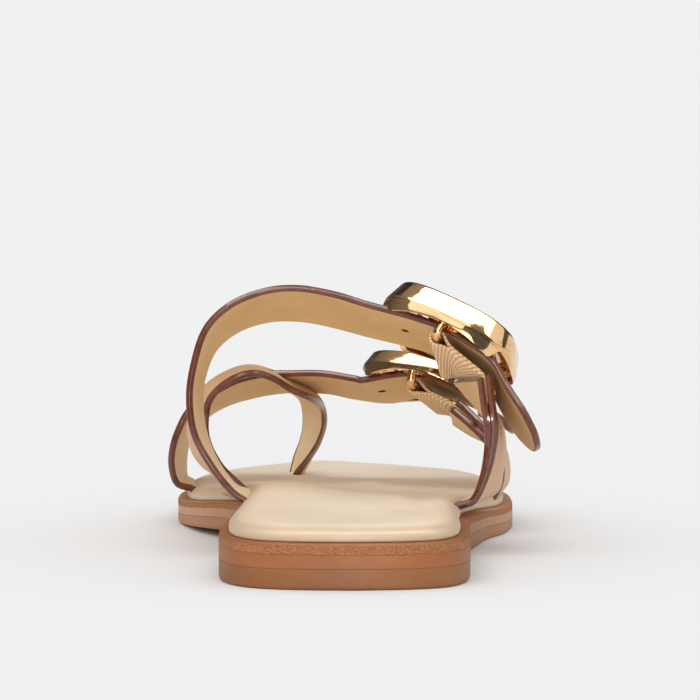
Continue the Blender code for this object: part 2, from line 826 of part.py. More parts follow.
def anchor_mesh(strip, name, count, across_count, grow=0.0):
    """Two layers of leather that part at the top, as one thick skin."""
    positions, length = strip.positions(count)
    rings = []
    for position in positions:
        middle, along, across, outward = strip.axes(position)
        place = position / strip.last()
        share = smooth((place - 0.45) / 0.5)
        span = ANCHOR_SPLIT_THICKNESS - ANCHOR_BASE_THICKNESS
        half = (ANCHOR_BASE_THICKNESS + span * share) / 2 + grow
        near, far = strip.edges(position)
        spread = grow / (far - near).length
        row = []
        for index in range(across_count + 1):
            w = index / across_count * (1 + 2 * spread) - spread
            row.append(near.lerp(far, w))
        row = [point + along * grow * strip.end_sign(position) for point in row]
        outer = [point + outward * half for point in row]
        inner = [point - outward * half for point in reversed(row)]
        rings.append(outer + inner)
    return loft(name, rings)


def hole_cutter(strip, row, name, collection):
    """Small round cutter through a strap at its middle."""
    middle, along, across, outward = strip.axes(row + strip.seat_rows)
    bm = bmesh.new()
    bmesh.ops.create_cone(
        bm, cap_ends=True, segments=12, radius1=HOLE_RADIUS, radius2=HOLE_RADIUS,
        depth=STRAP_THICKNESS * 5,
    )
    for vert in bm.verts:
        x, y, z = vert.co
        vert.co = middle + along * x + across * y + outward * z
    return helper(name, mesh_from(bm, name), collection)


def helper(name, mesh, collection):
    """Object that only shapes others."""
    obj = new_object(name, mesh, None, collection)
    obj.hide_render = True
    obj.display_type = "WIRE"
    return obj


def strap_object(strip, name, count, finish, collection, tail_round=0.0):
    """Leather strap as an open surface with thickness."""
    mesh = strip.surface(name, count, ACROSS_COUNT, 0.0, tail_round)
    obj = new_object(name, mesh, finish, collection)
    solidify(obj, STRAP_THICKNESS)
    return obj


def strap_cutter(strip, name, counts, collection, clearance):
    """Strap made larger by a clearance, to cut its neighbours."""
    obj = helper(name, strip.surface(name, *counts, clearance), collection)
    solidify(obj, STRAP_THICKNESS + 2 * clearance)
    return obj


def build_sole(finishes, parts):
    """Outsole, midsole and footbed."""
    edge = outline_points(EDGE_COUNT, 0.0)
    coarse = (1.0, 0.80, 0.45, 0.0)
    outsole = sole_layer(
        "outsole", edge, coarse, underside, outsole_top,
        (EDGE_ROUND, EDGE_ROUND / 3),
    )
    new_object("outsole", outsole, finishes["outsole"], parts)

    def midsole_bottom(x, y):
        return outsole_top(x, y) + LAYER_GAP

    midsole = sole_layer(
        "midsole", edge, coarse, midsole_bottom, midsole_top,
        (EDGE_ROUND / 3, EDGE_ROUND),
    )
    new_object("midsole", midsole, finishes["midsole"], parts)

    def footbed_bottom(x, y):
        return midsole_top(x, y) + LAYER_GAP

    inner_edge = outline_points(EDGE_COUNT, RIM_WIDTH)
    fine = (1.0, 0.87, 0.66, 0.38, 0.0)
    footbed = sole_layer(
        "footbed", inner_edge, fine, footbed_bottom, footbed_top,
        (EDGE_ROUND / 2, FOOTBED_EDGE_ROUND),
    )
    return new_object("footbed", footbed, finishes["lining"], parts)


def hide(obj, collection):
    """Keep an object as a cutter or a joined piece only."""
    collection.objects.link(obj)
    obj.hide_render = True
    obj.display_type = "WIRE"
    return obj


def build_buckle_set(prefix, buckle, strap, anchor, finishes, parts, cutters):
    """Frame with bar, prong, webbing loop and split anchor strap."""
    frame_mesh = loft(prefix + "_buckle_frame", buckle.frame_rings(FRAME_COUNT), capped=False)
    frame = new_object(prefix + "_buckle_frame", frame_mesh, finishes["gold"], parts)
    bar = buckle.wire(prefix + "_bar", buckle.bar_path(), BAR_RADIUS, cutters)
    join(frame, hide(bar, cutters))

    path = buckle.prong_path()
    prong = buckle.wire(prefix + "_buckle_prong", path, PRONG_RADIUS, cutters)
    prong.data.materials.append(finishes["gold"])
    parts.objects.link(prong)
    path = buckle.prong_path(FIT_GAP)
    slot = buckle.wire(prefix + "_prong_slot", path, PRONG_RADIUS + FIT_GAP, cutters)
    cut(strap, hide(slot, cutters))

    webbing = Webbing(buckle, anchor)
    name = prefix + "_webbing"
    loop = new_object(name, webbing.mesh(name, WEBBING_COUNT), finishes["webbing"], parts)
    eye = helper(name + "_eye", webbing.mesh(name + "_eye", 1, hole=True, widen=0.1), cutters)
    cut(loop, eye)
    cut(loop, slot)

    name = prefix + "_anchor"
    leather = new_object(name, anchor_mesh(anchor, name, ANCHOR_COUNT, ACROSS_COUNT), finishes["strap"], parts)
    pocket = helper(
        name + "_pocket", webbing.mesh(name + "_pocket", WEBBING_COUNT, FIT_GAP, False, 0.1), cutters
    )
    cut(leather, pocket)
    return leather


def main():
    """Build every piece in order."""
    for obj in list(bpy.data.objects):
        bpy.data.objects.remove(obj, do_unlink=True)
    scene = bpy.context.scene.collection
    parts = bpy.data.collections.new(COLLECTION_NAME)
    cutters = bpy.data.collections.new(CUTTERS_NAME)
    scene.children.link(parts)
    scene.children.link(cutters)
    finishes = {
        "outsole": material("outsole_leather", (0.35, 0.155, 0.085), 0.55),
        "midsole": material("midsole_leather", (0.45, 0.19, 0.095), 0.6),
        "lining": material("footbed_leather", (0.80, 0.65, 0.46), 0.5),
        "strap": material("strap_leather", (0.64, 0.44, 0.25), 0.5),
        "gold": material("gold_metal", (0.90, 0.64, 0.35), 0.08, 1.0),
        "webbing": material("webbing_fabric", (0.58, 0.38, 0.18), 0.8),
    }
    footbed = build_sole(finishes, parts)

    instep = Strip(INSTEP_ROWS, INSTEP_RISE, INSTEP_SEAT, -1)
    front = Strip(FRONT_ROWS, FRONT_RISE, FRONT_SEAT, -1)
    toe = Strip(TOE_ROWS, FRONT_RISE, TOE_SEAT, -1, TOE_STRAP_CROWN)
    instep_anchor = Strip(INSTEP_ANCHOR_ROWS, INSTEP_RISE, INSTEP_ANCHOR_SEAT, 1)
    front_anchor = Strip(FRONT_ANCHOR_ROWS, FRONT_RISE, FRONT_ANCHOR_SEAT, 1)

    size = (BUCKLE_LENGTH, BUCKLE_WIDTH, BUCKLE_DOME)
    front_size = (FRONT_BUCKLE_LENGTH, FRONT_BUCKLE_WIDTH, FRONT_BUCKLE_DOME)
    instep_buckle = Buckle(instep, INSTEP_BAR_ROW, size, INSTEP_DIP, INSTEP_SLIDE)
    front_buckle = Buckle(front, FRONT_BAR_ROW, front_size, FRONT_DIP, FRONT_SLIDE)
    instep_strap = strap_object(
        instep, "instep_strap", INSTEP_COUNT, finishes["strap"], parts, TAIL_ROUND
    )
    front_strap = strap_object(
        front, "front_strap", FRONT_COUNT, finishes["strap"], parts, TAIL_ROUND
    )
    toe_strap = strap_object(toe, "toe_strap", TOE_COUNT, finishes["strap"], parts)

    build_buckle_set(
        "instep", instep_buckle, instep_strap, instep_anchor, finishes, parts, cutters
    )
    build_buckle_set(
        "front", front_buckle, front_strap, front_anchor, finishes, parts, cutters
    )
    for row in INSTEP_HOLE_ROWS:
        cut(instep_strap, hole_cutter(instep, row, "instep_hole", cutters))
    for row in FRONT_HOLE_ROWS:
        cut(front_strap, hole_cutter(front, row, "front_hole", cutters))

    cut(toe_strap, strap_cutter(front, "toe_strap_slot", (FRONT_COUNT, ACROSS_COUNT), cutters, FIT_GAP))
    seats = (
        (instep, "instep_seat", (INSTEP_COUNT, 1)),
        (front, "front_seat", (FRONT_COUNT, 1)),
        (toe, "toe_seat", (TOE_COUNT, ACROSS_COUNT)),
    )
    for strip, name, counts in seats:
        cut(footbed, strap_cutter(strip, name, counts, cutters, FIT_GAP))
    for strip, name in ((instep_anchor, "instep"), (front_anchor, "front")):
        mesh = anchor_mesh(strip, name + "_anchor_seat", ANCHOR_COUNT, 1, FIT_GAP)
        cut(footbed, helper(name + "_anchor_seat", mesh, cutters))


main()
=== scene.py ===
"""Dress for a toe-loop slide sandal: leather straps, stacked sole and gold buckles.

Metres, +Z up, +Y towards the toe, -X the inner (big toe) side, +X the outer side.
The origin is on the floor, in the middle of the heel's flat underside.
"""

import logging
import math
from dataclasses import dataclass, field
from enum import Enum
from typing import Any, Callable, Sequence

import bmesh
import bpy
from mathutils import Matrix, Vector, noise


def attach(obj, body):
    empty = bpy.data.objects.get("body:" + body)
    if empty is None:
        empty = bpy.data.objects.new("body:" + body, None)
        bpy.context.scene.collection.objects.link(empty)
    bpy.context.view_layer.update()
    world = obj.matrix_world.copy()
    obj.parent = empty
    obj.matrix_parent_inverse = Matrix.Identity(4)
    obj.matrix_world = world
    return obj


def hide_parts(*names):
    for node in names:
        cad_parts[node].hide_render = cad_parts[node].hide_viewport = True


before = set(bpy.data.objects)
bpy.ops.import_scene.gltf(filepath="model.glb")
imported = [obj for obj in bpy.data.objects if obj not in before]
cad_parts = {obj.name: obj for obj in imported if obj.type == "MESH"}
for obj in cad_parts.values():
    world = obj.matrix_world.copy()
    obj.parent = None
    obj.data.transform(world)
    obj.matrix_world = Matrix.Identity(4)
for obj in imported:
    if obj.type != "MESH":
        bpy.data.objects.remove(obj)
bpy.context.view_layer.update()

LOG = logging.getLogger("sandal")
BODY = "root"
TINY = 1e-9

# Points of a quarter round at 30 and 60 degrees, as shares of its radius
ARC_LOW = 0.134
ARC_MID = 0.5
ARC_HIGH = 0.866

# Steps of the fine curves that distances are measured on
OUTLINE_STEPS = 960
OUTLINE_PASSES = 6
MIDDLE_STEPS = 900
FRAME_STEPS = 1440

# Rods: steps between two points of their path, and sides
ROD_STEPS = 6
ROD_SIDES = 14

# Outline of the sole. Columns: station as a share of the length, inner half width as
# shares of the heel's and the ball's half width, then the same two for the outer side
OUTLINE = (
    (0.000, 0.000, 0.000, 0.000, 0.000),
    (0.008, 0.470, 0.000, 0.490, 0.000),
    (0.024, 0.740, 0.000, 0.770, 0.000),
    (0.055, 0.905, 0.000, 0.925, 0.000),
    (0.095, 0.985, 0.000, 0.985, 0.000),
    (0.150, 1.000, 0.000, 1.000, 0.000),
    (0.230, 0.970, 0.000, 0.995, 0.000),
    (0.310, 0.700, 0.150, 0.800, 0.152),
    (0.380, 0.350, 0.363, 0.500, 0.377),
    (0.440, 0.100, 0.555, 0.200, 0.640),
    (0.500, 0.000, 0.710, 0.000, 0.835),
    (0.560, 0.000, 0.850, 0.000, 0.940),
    (0.620, 0.000, 0.940, 0.000, 0.992),
    (0.680, 0.000, 0.995, 0.000, 1.000),
    (0.740, 0.000, 1.000, 0.000, 0.985),
    (0.800, 0.000, 0.950, 0.000, 0.905),
    (0.860, 0.000, 0.850, 0.000, 0.765),
    (0.915, 0.000, 0.690, 0.000, 0.560),
    (0.955, 0.000, 0.515, 0.000, 0.330),
    (0.985, 0.000, 0.345, 0.000, 0.080),
    (1.000, 0.000, 0.140, 0.000, -0.140),
)

# Side profile. Columns: station, heel share of the layers, arch share, toe spring share
PROFILE = (
    (0.00, 1.00, 0.00, 0.00),
    (0.16, 1.00, 0.00, 0.00),
    (0.24, 0.93, 0.10, 0.00),
    (0.32, 0.72, 0.65, 0.00),
    (0.40, 0.50, 1.00, 0.00),
    (0.48, 0.30, 0.95, 0.00),
    (0.56, 0.10, 0.60, 0.00),
    (0.63, 0.00, 0.22, 0.00),
    (0.68, 0.00, 0.00, 0.00),
    (0.78, 0.00, 0.00, 0.00),
    (0.86, 0.00, 0.00, 0.14),
    (0.93, 0.00, 0.00, 0.45),
    (1.00, 0.00, 0.00, 1.00),
)

# Strap tables. Each row is the near (heel side) edge and the far (toe side) edge:
# x as a share of half the ball width, y of the sole's length, z of the strap's rise.
# Columns: near x, near y, near z, far x, far y, far z
INSTEP_ROWS = (
    (-0.648, 0.317, 0.251, -0.643, 0.429, 0.232),
    (-0.761, 0.317, 0.345, -0.743, 0.429, 0.319),
    (-0.857, 0.321, 0.462, -0.813, 0.435, 0.427),
    (-0.887, 0.329, 0.588, -0.837, 0.440, 0.539),
    (-0.865, 0.337, 0.714, -0.822, 0.448, 0.644),
    (-0.796, 0.349, 0.849, -0.752, 0.458, 0.748),
    (-0.657, 0.357, 0.938, -0.613, 0.466, 0.818),
    (-0.457, 0.363, 0.990, -0.426, 0.470, 0.854),
    (-0.261, 0.365, 0.999, -0.230, 0.468, 0.852),
    (-0.065, 0.363, 0.978, -0.043, 0.466, 0.828),
    (0.122, 0.357, 0.943, 0.135, 0.462, 0.798),
    (0.291, 0.353, 0.918, 0.287, 0.456, 0.772),
    (0.435, 0.347, 0.912, 0.413, 0.450, 0.766),
    (0.615, 0.338, 0.912, 0.585, 0.442, 0.768),
    (0.752, 0.329, 0.822, 0.722, 0.435, 0.704),
    (0.835, 0.321, 0.737, 0.804, 0.429, 0.639),
    (0.930, 0.319, 0.639, 0.883, 0.423, 0.569),
    (1.013, 0.317, 0.557, 0.943, 0.419, 0.493),
    (1.078, 0.317, 0.482, 1.004, 0.415, 0.426),
    (1.130, 0.317, 0.401, 1.057, 0.413, 0.364),
)

FRONT_ROWS = (
    (-1.002, 0.651, 0.268, -0.967, 0.750, 0.261),
    (-1.034, 0.643, 0.382, -0.972, 0.744, 0.364),
    (-1.026, 0.639, 0.500, -0.958, 0.740, 0.466),
    (-0.988, 0.637, 0.627, -0.915, 0.739, 0.557),
    (-0.926, 0.640, 0.743, -0.843, 0.741, 0.650),
    (-0.813, 0.646, 0.828, -0.726, 0.742, 0.727),
    (-0.661, 0.647, 0.920, -0.578, 0.742, 0.777),
    (-0.491, 0.647, 0.966, -0.426, 0.742, 0.809),
    (-0.313, 0.643, 0.975, -0.261, 0.740, 0.820),
    (-0.122, 0.631, 0.977, -0.096, 0.730, 0.818),
    (0.052, 0.621, 0.953, 0.065, 0.722, 0.786),
    (0.204, 0.613, 0.945, 0.209, 0.714, 0.764),
    (0.330, 0.605, 0.986, 0.326, 0.704, 0.795),
    (0.452, 0.599, 1.030, 0.430, 0.700, 0.832),
    (0.578, 0.591, 0.943, 0.552, 0.692, 0.764),
    (0.683, 0.583, 0.866, 0.680, 0.683, 0.742),
    (0.800, 0.575, 0.790, 0.806, 0.675, 0.705),
    (0.904, 0.567, 0.734, 0.902, 0.667, 0.658),
    (1.017, 0.563, 0.618, 0.992, 0.663, 0.590),
)

TOE_ROWS = (
    (-0.635, 0.440, 0.400, -0.717, 0.540, 0.352),
    (-0.726, 0.448, 0.500, -0.839, 0.552, 0.466),
    (-0.796, 0.470, 0.636, -0.900, 0.571, 0.591),
    (-0.809, 0.498, 0.759, -0.900, 0.603, 0.692),
    (-0.783, 0.532, 0.868, -0.860, 0.643, 0.802),
    (-0.683, 0.566, 0.957, -0.745, 0.687, 0.882),
    (-0.557, 0.591, 0.995, -0.600, 0.726, 0.918),
    (-0.437, 0.611, 0.959, -0.448, 0.766, 0.855),
    (-0.313, 0.643, 0.866, -0.335, 0.778, 0.805),
    (-0.187, 0.683, 0.784, -0.274, 0.778, 0.755),
    (-0.135, 0.724, 0.705, -0.252, 0.790, 0.673),
    (-0.130, 0.748, 0.591, -0.248, 0.802, 0.568),
    (-0.161, 0.770, 0.473, -0.270, 0.813, 0.455),
    (-0.226, 0.790, 0.359, -0.304, 0.821, 0.355),
    (-0.287, 0.802, 0.277, -0.322, 0.827, 0.273),
    (-0.322, 0.808, 0.215, -0.335, 0.829, 0.215),
)

INSTEP_ANCHOR_ROWS = (
    (0.735, 0.325, 0.213, 0.874, 0.464, 0.204),
    (0.791, 0.325, 0.290, 0.900, 0.458, 0.283),
    (0.824, 0.325, 0.378, 0.907, 0.452, 0.361),
    (0.837, 0.325, 0.476, 0.878, 0.446, 0.454),
    (0.817, 0.325, 0.583, 0.791, 0.440, 0.541),
    (0.798, 0.325, 0.681, 0.661, 0.435, 0.640),
)

FRONT_ANCHOR_ROWS = (
    (0.915, 0.563, 0.330, 0.965, 0.675, 0.284),
    (0.915, 0.563, 0.432, 0.962, 0.675, 0.375),
    (0.880, 0.565, 0.545, 0.935, 0.671, 0.468),
    (0.813, 0.567, 0.641, 0.870, 0.669, 0.544),
    (0.717, 0.573, 0.741, 0.765, 0.671, 0.605),
    (0.643, 0.579, 0.805, 0.664, 0.679, 0.671),
)

# How a strap's end bends up at the rim. Columns: reach under the footbed, share of rise
TUCK_CURVE = ((1.00, 0.05), (0.66, 0.05), (0.40, 0.10), (0.19, 0.42), (0.04, 1.00))
FOOTBED_RIM = 0.0026
TUCK_REACH = 0.0090
TUCK_LIFT = 0.00125
TUCK_RISE = 0.0019

# Turns in degrees of a sole layer's rounded edges, from the side to the flat
LOWER_TURNS = (90, 60, 30)
UPPER_TURNS = (12, 24, 36, 48, 58, 67, 75, 83, 90)

Place = Callable[[int, int], Vector]
Spread = Callable[[int, int], tuple[float, float]]
Choice = Callable[[int, int], int]


class Face(Enum):
    """Surfaces of a leather strip, each with its own finish."""

    OUTER = 0
    INNER = 1
    EDGE = 2


def smooth(value: float) -> float:
    """Ease a share from 0 to 1 with flat ends."""
    value = max(0.0, min(1.0, value))
    return value * value * (3 - 2 * value)


def bump(value: float, centre: float, half_width: float) -> float:
    """Soft hill of height 1 at the centre that ends at the half width."""
    return 1 - smooth(abs(value - centre) / half_width)


def catmull(points: Sequence[Any], position: float) -> Any:
    """Read the smooth curve through points or numbers at a row position.

    Args:
        points: Vectors or numbers, one a row.
        position: Row position, whole at a row and a share between two rows.

    Returns:
        A vector or number of the same kind as the points.
    """
    last = len(points) - 1
    index = min(max(int(position), 0), last - 1)
    share = position - index
    p1 = points[index]
    p2 = points[index + 1]
    p0 = points[index - 1] if index > 0 else 2 * p1 - p2
    p3 = points[index + 2] if index + 2 <= last else 2 * p2 - p1
    square = share * share
    cube = square * share
    return 0.5 * (
        2 * p1
        + (p2 - p0) * share
        + (2 * p0 - 5 * p1 + 4 * p2 - p3) * square
        + (3 * p1 - 3 * p2 + p3 - p0) * cube
    )


def even_points(path: Sequence[Vector], count: int) -> list[Vector]:
    """Points at even distances along a path, without its last one.

    Args:
        path: Points of the path.
        count: Number of points.

    Returns:
        The points, from the path's first one.
    """
    lengths = [0.0]
    for before, after in zip(path, path[1:]):
        lengths.append(lengths[-1] + (after - before).length)
    points = []
    index = 0
    for step in range(count):
        target = lengths[-1] * step / count
        while lengths[index + 1] < target:
            index += 1
        share = (target - lengths[index]) / max(TINY, lengths[index + 1] - lengths[index])
        points.append(path[index].lerp(path[index + 1], share))
    return points


def ripple(spot: Vector, scale: float, seed: float) -> float:
    """Smooth noise between about -1 and 1 at a point, with a feature size in metres."""
    return noise.noise(spot / scale + Vector((seed, seed * 0.37, -seed)))


class Table:
    """Columns of numbers read smoothly between their rows."""

    def __init__(self, rows: Sequence[Sequence[float]]) -> None:
        """Keep the rows as columns; the first column is the station."""
        self.columns = list(zip(*rows))

    def read(self, station: float, column: int) -> float:
        """Value of a column at a station.

        Args:
            station: Share of the sole's length.
            column: Number of the column, 1 for the first after the station.

        Returns:
            The value on the smooth curve through the column.
        """
        stations = self.columns[0]
        index = 0
        while index < len(stations) - 2 and station > stations[index + 1]:
            index += 1
        share = (station - stations[index]) / (stations[index + 1] - stations[index])
        return catmull(self.columns[column], index + max(0.0, min(1.0, share)))


@dataclass(frozen=True)
class SoleForm:
    """Outline and heights of the sole, worked out from its named sizes."""

    length: float = 0.252
    ball_width: float = 0.0934
    heel_width: float = 0.0655
    heel_centre: float = 0.030
    outsole_heel: float = 0.0054
    outsole_ball: float = 0.0030
    midsole_heel: float = 0.0066
    midsole_ball: float = 0.0040
    arch_lift: float = 0.0030
    toe_spring: float = 0.0022
    toe_thinning: float = 0.0010
    footbed_thickness: float = 0.0046
    footbed_thinning: float = 0.0012
    heel_dish: float = 0.0011
    toe_hollow: float = 0.0012
    arch_swell: float = 0.0015
    ball_swell: float = 0.0009
    outline: Table = field(default_factory=lambda: Table(OUTLINE))
    profile: Table = field(default_factory=lambda: Table(PROFILE))

    @property
    def ball_half(self) -> float:
        """Half of the ball width."""
        return self.ball_width / 2

    def station_of(self, y: float) -> float:
        """Share of the sole's length at a distance from the back of the heel."""
        return max(0.0, min(1.0, (y + self.heel_centre) / self.length))

    def y_of(self, station: float) -> float:
        """World y of a station."""
        return station * self.length - self.heel_centre

    def half_width(self, y: float, side: int) -> float:
        """Half width of the sole at a distance along it.

        Args:
            y: World y.
            side: -1 for the inner side and 1 for the outer side.

        Returns:
            Distance from the middle line to the edge.
        """
        station = self.station_of(y)
        column = 1 if side < 0 else 3
        heel = self.outline.read(station, column) * self.heel_width / 2
        return heel + self.outline.read(station, column + 1) * self.ball_half

    def underside(self, x: float, y: float) -> float:
        """Height of the outsole's underside above the floor.

        Args:
            x: World x.
            y: World y.

        Returns:
            Height in metres.
        """
        station = self.station_of(y)
        inner = smooth(0.5 - x / self.ball_width)
        arch = max(0.0, self.profile.read(station, 2)) * self.arch_lift * inner
        return arch + max(0.0, self.profile.read(station, 3)) * self.toe_spring

    def outsole_top(self, x: float, y: float) -> float:
        """Height of the line between the two sole layers.

        Args:
            x: World x.
            y: World y.

        Returns:
            Height in metres.
        """
        share = self.profile.read(self.station_of(y), 1)
        layer = self.outsole_ball + (self.outsole_heel - self.outsole_ball) * share
        return self.underside(x, y) + layer

    def midsole_top(self, x: float, y: float) -> float:
        """Height of the rim that the footbed and the straps sit on.

        Args:
            x: World x.
            y: World y.

        Returns:
            Height in metres.
        """
        station = self.station_of(y)
        share = self.profile.read(station, 1)
        thinning = self.toe_thinning * smooth((station - 0.80) / 0.20)
        layer = self.midsole_ball + (self.midsole_heel - self.midsole_ball) * share
        return self.outsole_top(x, y) + layer - thinning

    def footbed_top(self, x: float, y: float) -> float:
        """Height of the moulded footbed, without its rounded edge.

        Args:
            x: World x.
            y: World y.

        Returns:
            Height in metres.
        """
        station = self.station_of(y)
        across = x / self.ball_half
        height = self.footbed_thickness
        height -= self.footbed_thinning * smooth((station - 0.78) / 0.22)
        height -= self.heel_dish * bump(station, 0.13, 0.17) * bump(across, 0.0, 0.75)
        hollow = 0.785 - 0.05 * across
        height -= self.toe_hollow * bump(station, hollow, 0.055) * bump(across, -0.05, 1.05)
        height += self.arch_swell * bump(station, 0.43, 0.18) * bump(across, -0.45, 0.55)
        height += self.ball_swell * bump(station, 0.56, 0.13) * bump(across, 0.15, 0.60)
        return self.midsole_top(x, y) + height

    def edge_points(self, count: int, inset: float) -> list[Vector]:
        """Closed outline of the sole, moved inwards by the inset, seen from above.

        Args:
            count: Even number of points.
            inset: Distance inwards.

        Returns:
            Points in order round the sole.
        """
        half = count // 2
        points = []
        for side in (1, -1):
            path = []
            for index in range(OUTLINE_STEPS + 1):
                turn = math.pi * index / OUTLINE_STEPS
                if side < 0:
                    turn = math.pi - turn
                y = self.y_of((1 - math.cos(turn)) / 2)
                path.append(Vector((side * self.half_width(y, side), y, 0.0)))
            points += even_points(path, half)
        for _ in range(OUTLINE_PASSES):
            after = points[1:] + points[:1]
            before = points[-1:] + points[:-1]
            points = [(first + point * 2 + last) / 4 for first, point, last in zip(before, points, after)]
        moved = []
        for index, point in enumerate(points):
            along = points[(index + 1) % count] - points[index - 1]
            moved.append(point + Vector((-along.y, along.x, 0.0)).normalized() * inset)
        return moved

    def spine_points(self, edge: Sequence[Vector]) -> list[Vector]:
        """Foot of each outline point on the sole's middle line.

        Args:
            edge: Outline points, in order round the sole.

        Returns:
            One foot for each outline point.
        """
        low = self.y_of(0.16)
        high = self.y_of(0.82)
        feet = []
        for index, point in enumerate(edge):
            y = max(low, min(high, (point.y + edge[-index].y) / 2))
            x = (self.half_width(y, 1) - self.half_width(y, -1)) / 2
            feet.append(Vector((x, y, 0.0)))
        return feet


@dataclass(frozen=True)
class Fold:
    """Soft trough or ridge between two points of a surface, in that surface's metres."""

    start: tuple[float, float]
    end: tuple[float, float]
    width: float
    height: float

    def lift(self, x: float, y: float) -> float:
        """Height that the fold adds at a point.

        Args:
            x: First coordinate.
            y: Second coordinate.

        Returns:
            Height in metres, below 0 in a trough.
        """
        along = Vector(self.end) - Vector(self.start)
        to_point = Vector((x, y)) - Vector(self.start)
        share = to_point.dot(along) / max(along.length_squared, 1e-12)
        held = max(0.0, min(1.0, share))
        gap = (to_point - along * held).length
        fade = 0.35 + 0.65 * math.sin(math.pi * held) if along.length > 1e-6 else 1.0
        return self.height * bump(gap, 0.0, self.width) * fade


class SkinMesh:
    """Mesh of one piece, grown from grids that are bent into closed skins."""

    def __init__(self) -> None:
        """Start with an empty mesh."""
        self.bm = bmesh.new()

    def grow(self, columns: int, rows: int, place: Place, spread: Spread, finish: Choice) -> None:
        """Add a grid, bend it into place and close it where its points meet.

        Args:
            columns: Steps of the grid along the piece.
            rows: Steps of the grid across or round the piece.
            place: World point for a column and a row.
            spread: UV point, in metres, for a column and a row.
            finish: Number of the finish for the face that starts at a column and a row.
        """
        known = len(self.bm.faces)
        grid = bmesh.ops.create_grid(self.bm, x_segments=columns, y_segments=rows, size=0.5)
        layer = self.bm.loops.layers.uv.verify()
        spots = {}
        for vert in grid["verts"]:
            column = round((vert.co.x + 0.5) * columns)
            row = round((vert.co.y + 0.5) * rows)
            spots[vert] = (column, row)
        self.bm.faces.ensure_lookup_table()
        for face in self.bm.faces[known:]:
            corners = [spots[vert] for vert in face.verts]
            first = min(column for column, row in corners)
            face.material_index = finish(first, min(row for column, row in corners))
            for loop in face.loops:
                loop[layer].uv = spread(*spots[loop.vert])
        for vert, (column, row) in spots.items():
            vert.co = place(column, row)
        bmesh.ops.remove_doubles(self.bm, verts=grid["verts"], dist=0.000002)

    def finished(
        self, name: str, finishes: Sequence[bpy.types.Material], sharp: float = 60
    ) -> bpy.types.Object:
        """Close the mesh and link it as an object.

        Args:
            name: Name of the piece.
            finishes: Its materials, in the order of their numbers.
            sharp: Angle in degrees past which an edge stays crisp.

        Returns:
            The new object.
        """
        bmesh.ops.recalc_face_normals(self.bm, faces=self.bm.faces)
        mesh = bpy.data.meshes.new(name)
        self.bm.to_mesh(mesh)
        self.bm.free()
        mesh.shade_smooth()
        mesh.set_sharp_from_angle(angle=math.radians(sharp))
        for finish in finishes:
            mesh.materials.append(finish)
        piece = bpy.data.objects.new(name, mesh)
        bpy.context.scene.collection.objects.link(piece)
        return piece


class StrapForm:
    """Leather strip between a near edge and a far edge, both smooth curves."""

    def __init__(
        self,
        rows: Sequence[Sequence[float]],
        rise: float,
        sole: SoleForm,
        seat: tuple[float, float] | None = None,
        side: int = -1,
        crown: float = 0.0005,
    ) -> None:
        """Turn a table into the two edges.

        Args:
            rows: Strap table.
            rise: Height that the table's z shares are of.
            sole: Sole that the strap is seated in.
            seat: Near and far stations of the seat under the footbed.
            side: -1 for a strap that starts at the inner side, 1 at the outer side.
            crown: Rise of the strap's middle over its edges.
        """
        self.sole = sole
        self.side = side
        self.crown = crown
        self.near = [self.spot(row[:3], rise) for row in rows]
        self.far = [self.spot(row[3:], rise) for row in rows]
        self.seat_rows = 0
        if seat:
            self.near = self.seat_points(sole.y_of(seat[0])) + self.near
            self.far = self.seat_points(sole.y_of(seat[1])) + self.far
            self.seat_rows = len(TUCK_CURVE)
        self.measured: tuple[list[float], list[float]] | None = None

    def spot(self, shares: Sequence[float], rise: float) -> Vector:
        """World point of one table entry."""
        return Vector((shares[0] * self.sole.ball_half, self.sole.y_of(shares[1]), shares[2] * rise))

    def seat_points(self, y: float) -> list[Vector]:
        """Points that run out from under the footbed to the rim.

        Args:
            y: World y.

        Returns:
            Points from the seat's end to the rim.
        """
        edge = self.sole.half_width(y, self.side)
        points = []
        for reach, rise in TUCK_CURVE:
            x = self.side * (edge - FOOTBED_RIM - reach * TUCK_REACH)
            height = self.sole.midsole_top(x, y) + TUCK_LIFT + rise * TUCK_RISE
            points.append(Vector((x, y, height)))
        return points

    def last(self) -> float:
        """Highest row position."""
        return float(len(self.near) - 1)

    def edges(self, position: float) -> tuple[Vector, Vector]:
        """Near and far edge points at a row position."""
        return catmull(self.near, position), catmull(self.far, position)

    def axes(self, position: float) -> tuple[Vector, Vector, Vector]:
        """Along, across and outward directions at a row position.

        Args:
            position: Row position.

        Returns:
            The three unit vectors.
        """
        low = max(0.0, position - 0.02)
        high = min(self.last(), position + 0.02)
        near, far = self.edges(position)
        across = (far - near).normalized()
        before = sum(self.edges(low), Vector()) / 2
        after = sum(self.edges(high), Vector()) / 2
        along = (after - before).normalized()
        return along, across, across.cross(along).normalized() * self.side

    def measure(self) -> tuple[list[float], list[float]]:
        """Row positions along the strip and their distances from its start.

        Returns:
            The positions and the distances.
        """
        if self.measured is None:
            places = [self.last() * index / MIDDLE_STEPS for index in range(MIDDLE_STEPS + 1)]
            middles = [sum(self.edges(place), Vector()) / 2 for place in places]
            lengths = [0.0]
            for before, after in zip(middles, middles[1:]):
                lengths.append(lengths[-1] + (after - before).length)
            self.measured = (places, lengths)
        return self.measured

    def length(self) -> float:
        """Length of the strip's middle line."""
        return self.measure()[1][-1]

    def position_at(self, distance: float) -> float:
        """Row position at a distance from the strip's start.

        Args:
            distance: Distance in metres.

        Returns:
            The row position.
        """
        places, lengths = self.measure()
        low = 0
        high = len(lengths) - 1
        while high - low > 1:
            middle = (low + high) // 2
            if lengths[middle] <= distance:
                low = middle
            else:
                high = middle
        span = max(TINY, lengths[high] - lengths[low])
        share = max(0.0, min(1.0, (distance - lengths[low]) / span))
        return places[low] + (places[high] - places[low]) * share


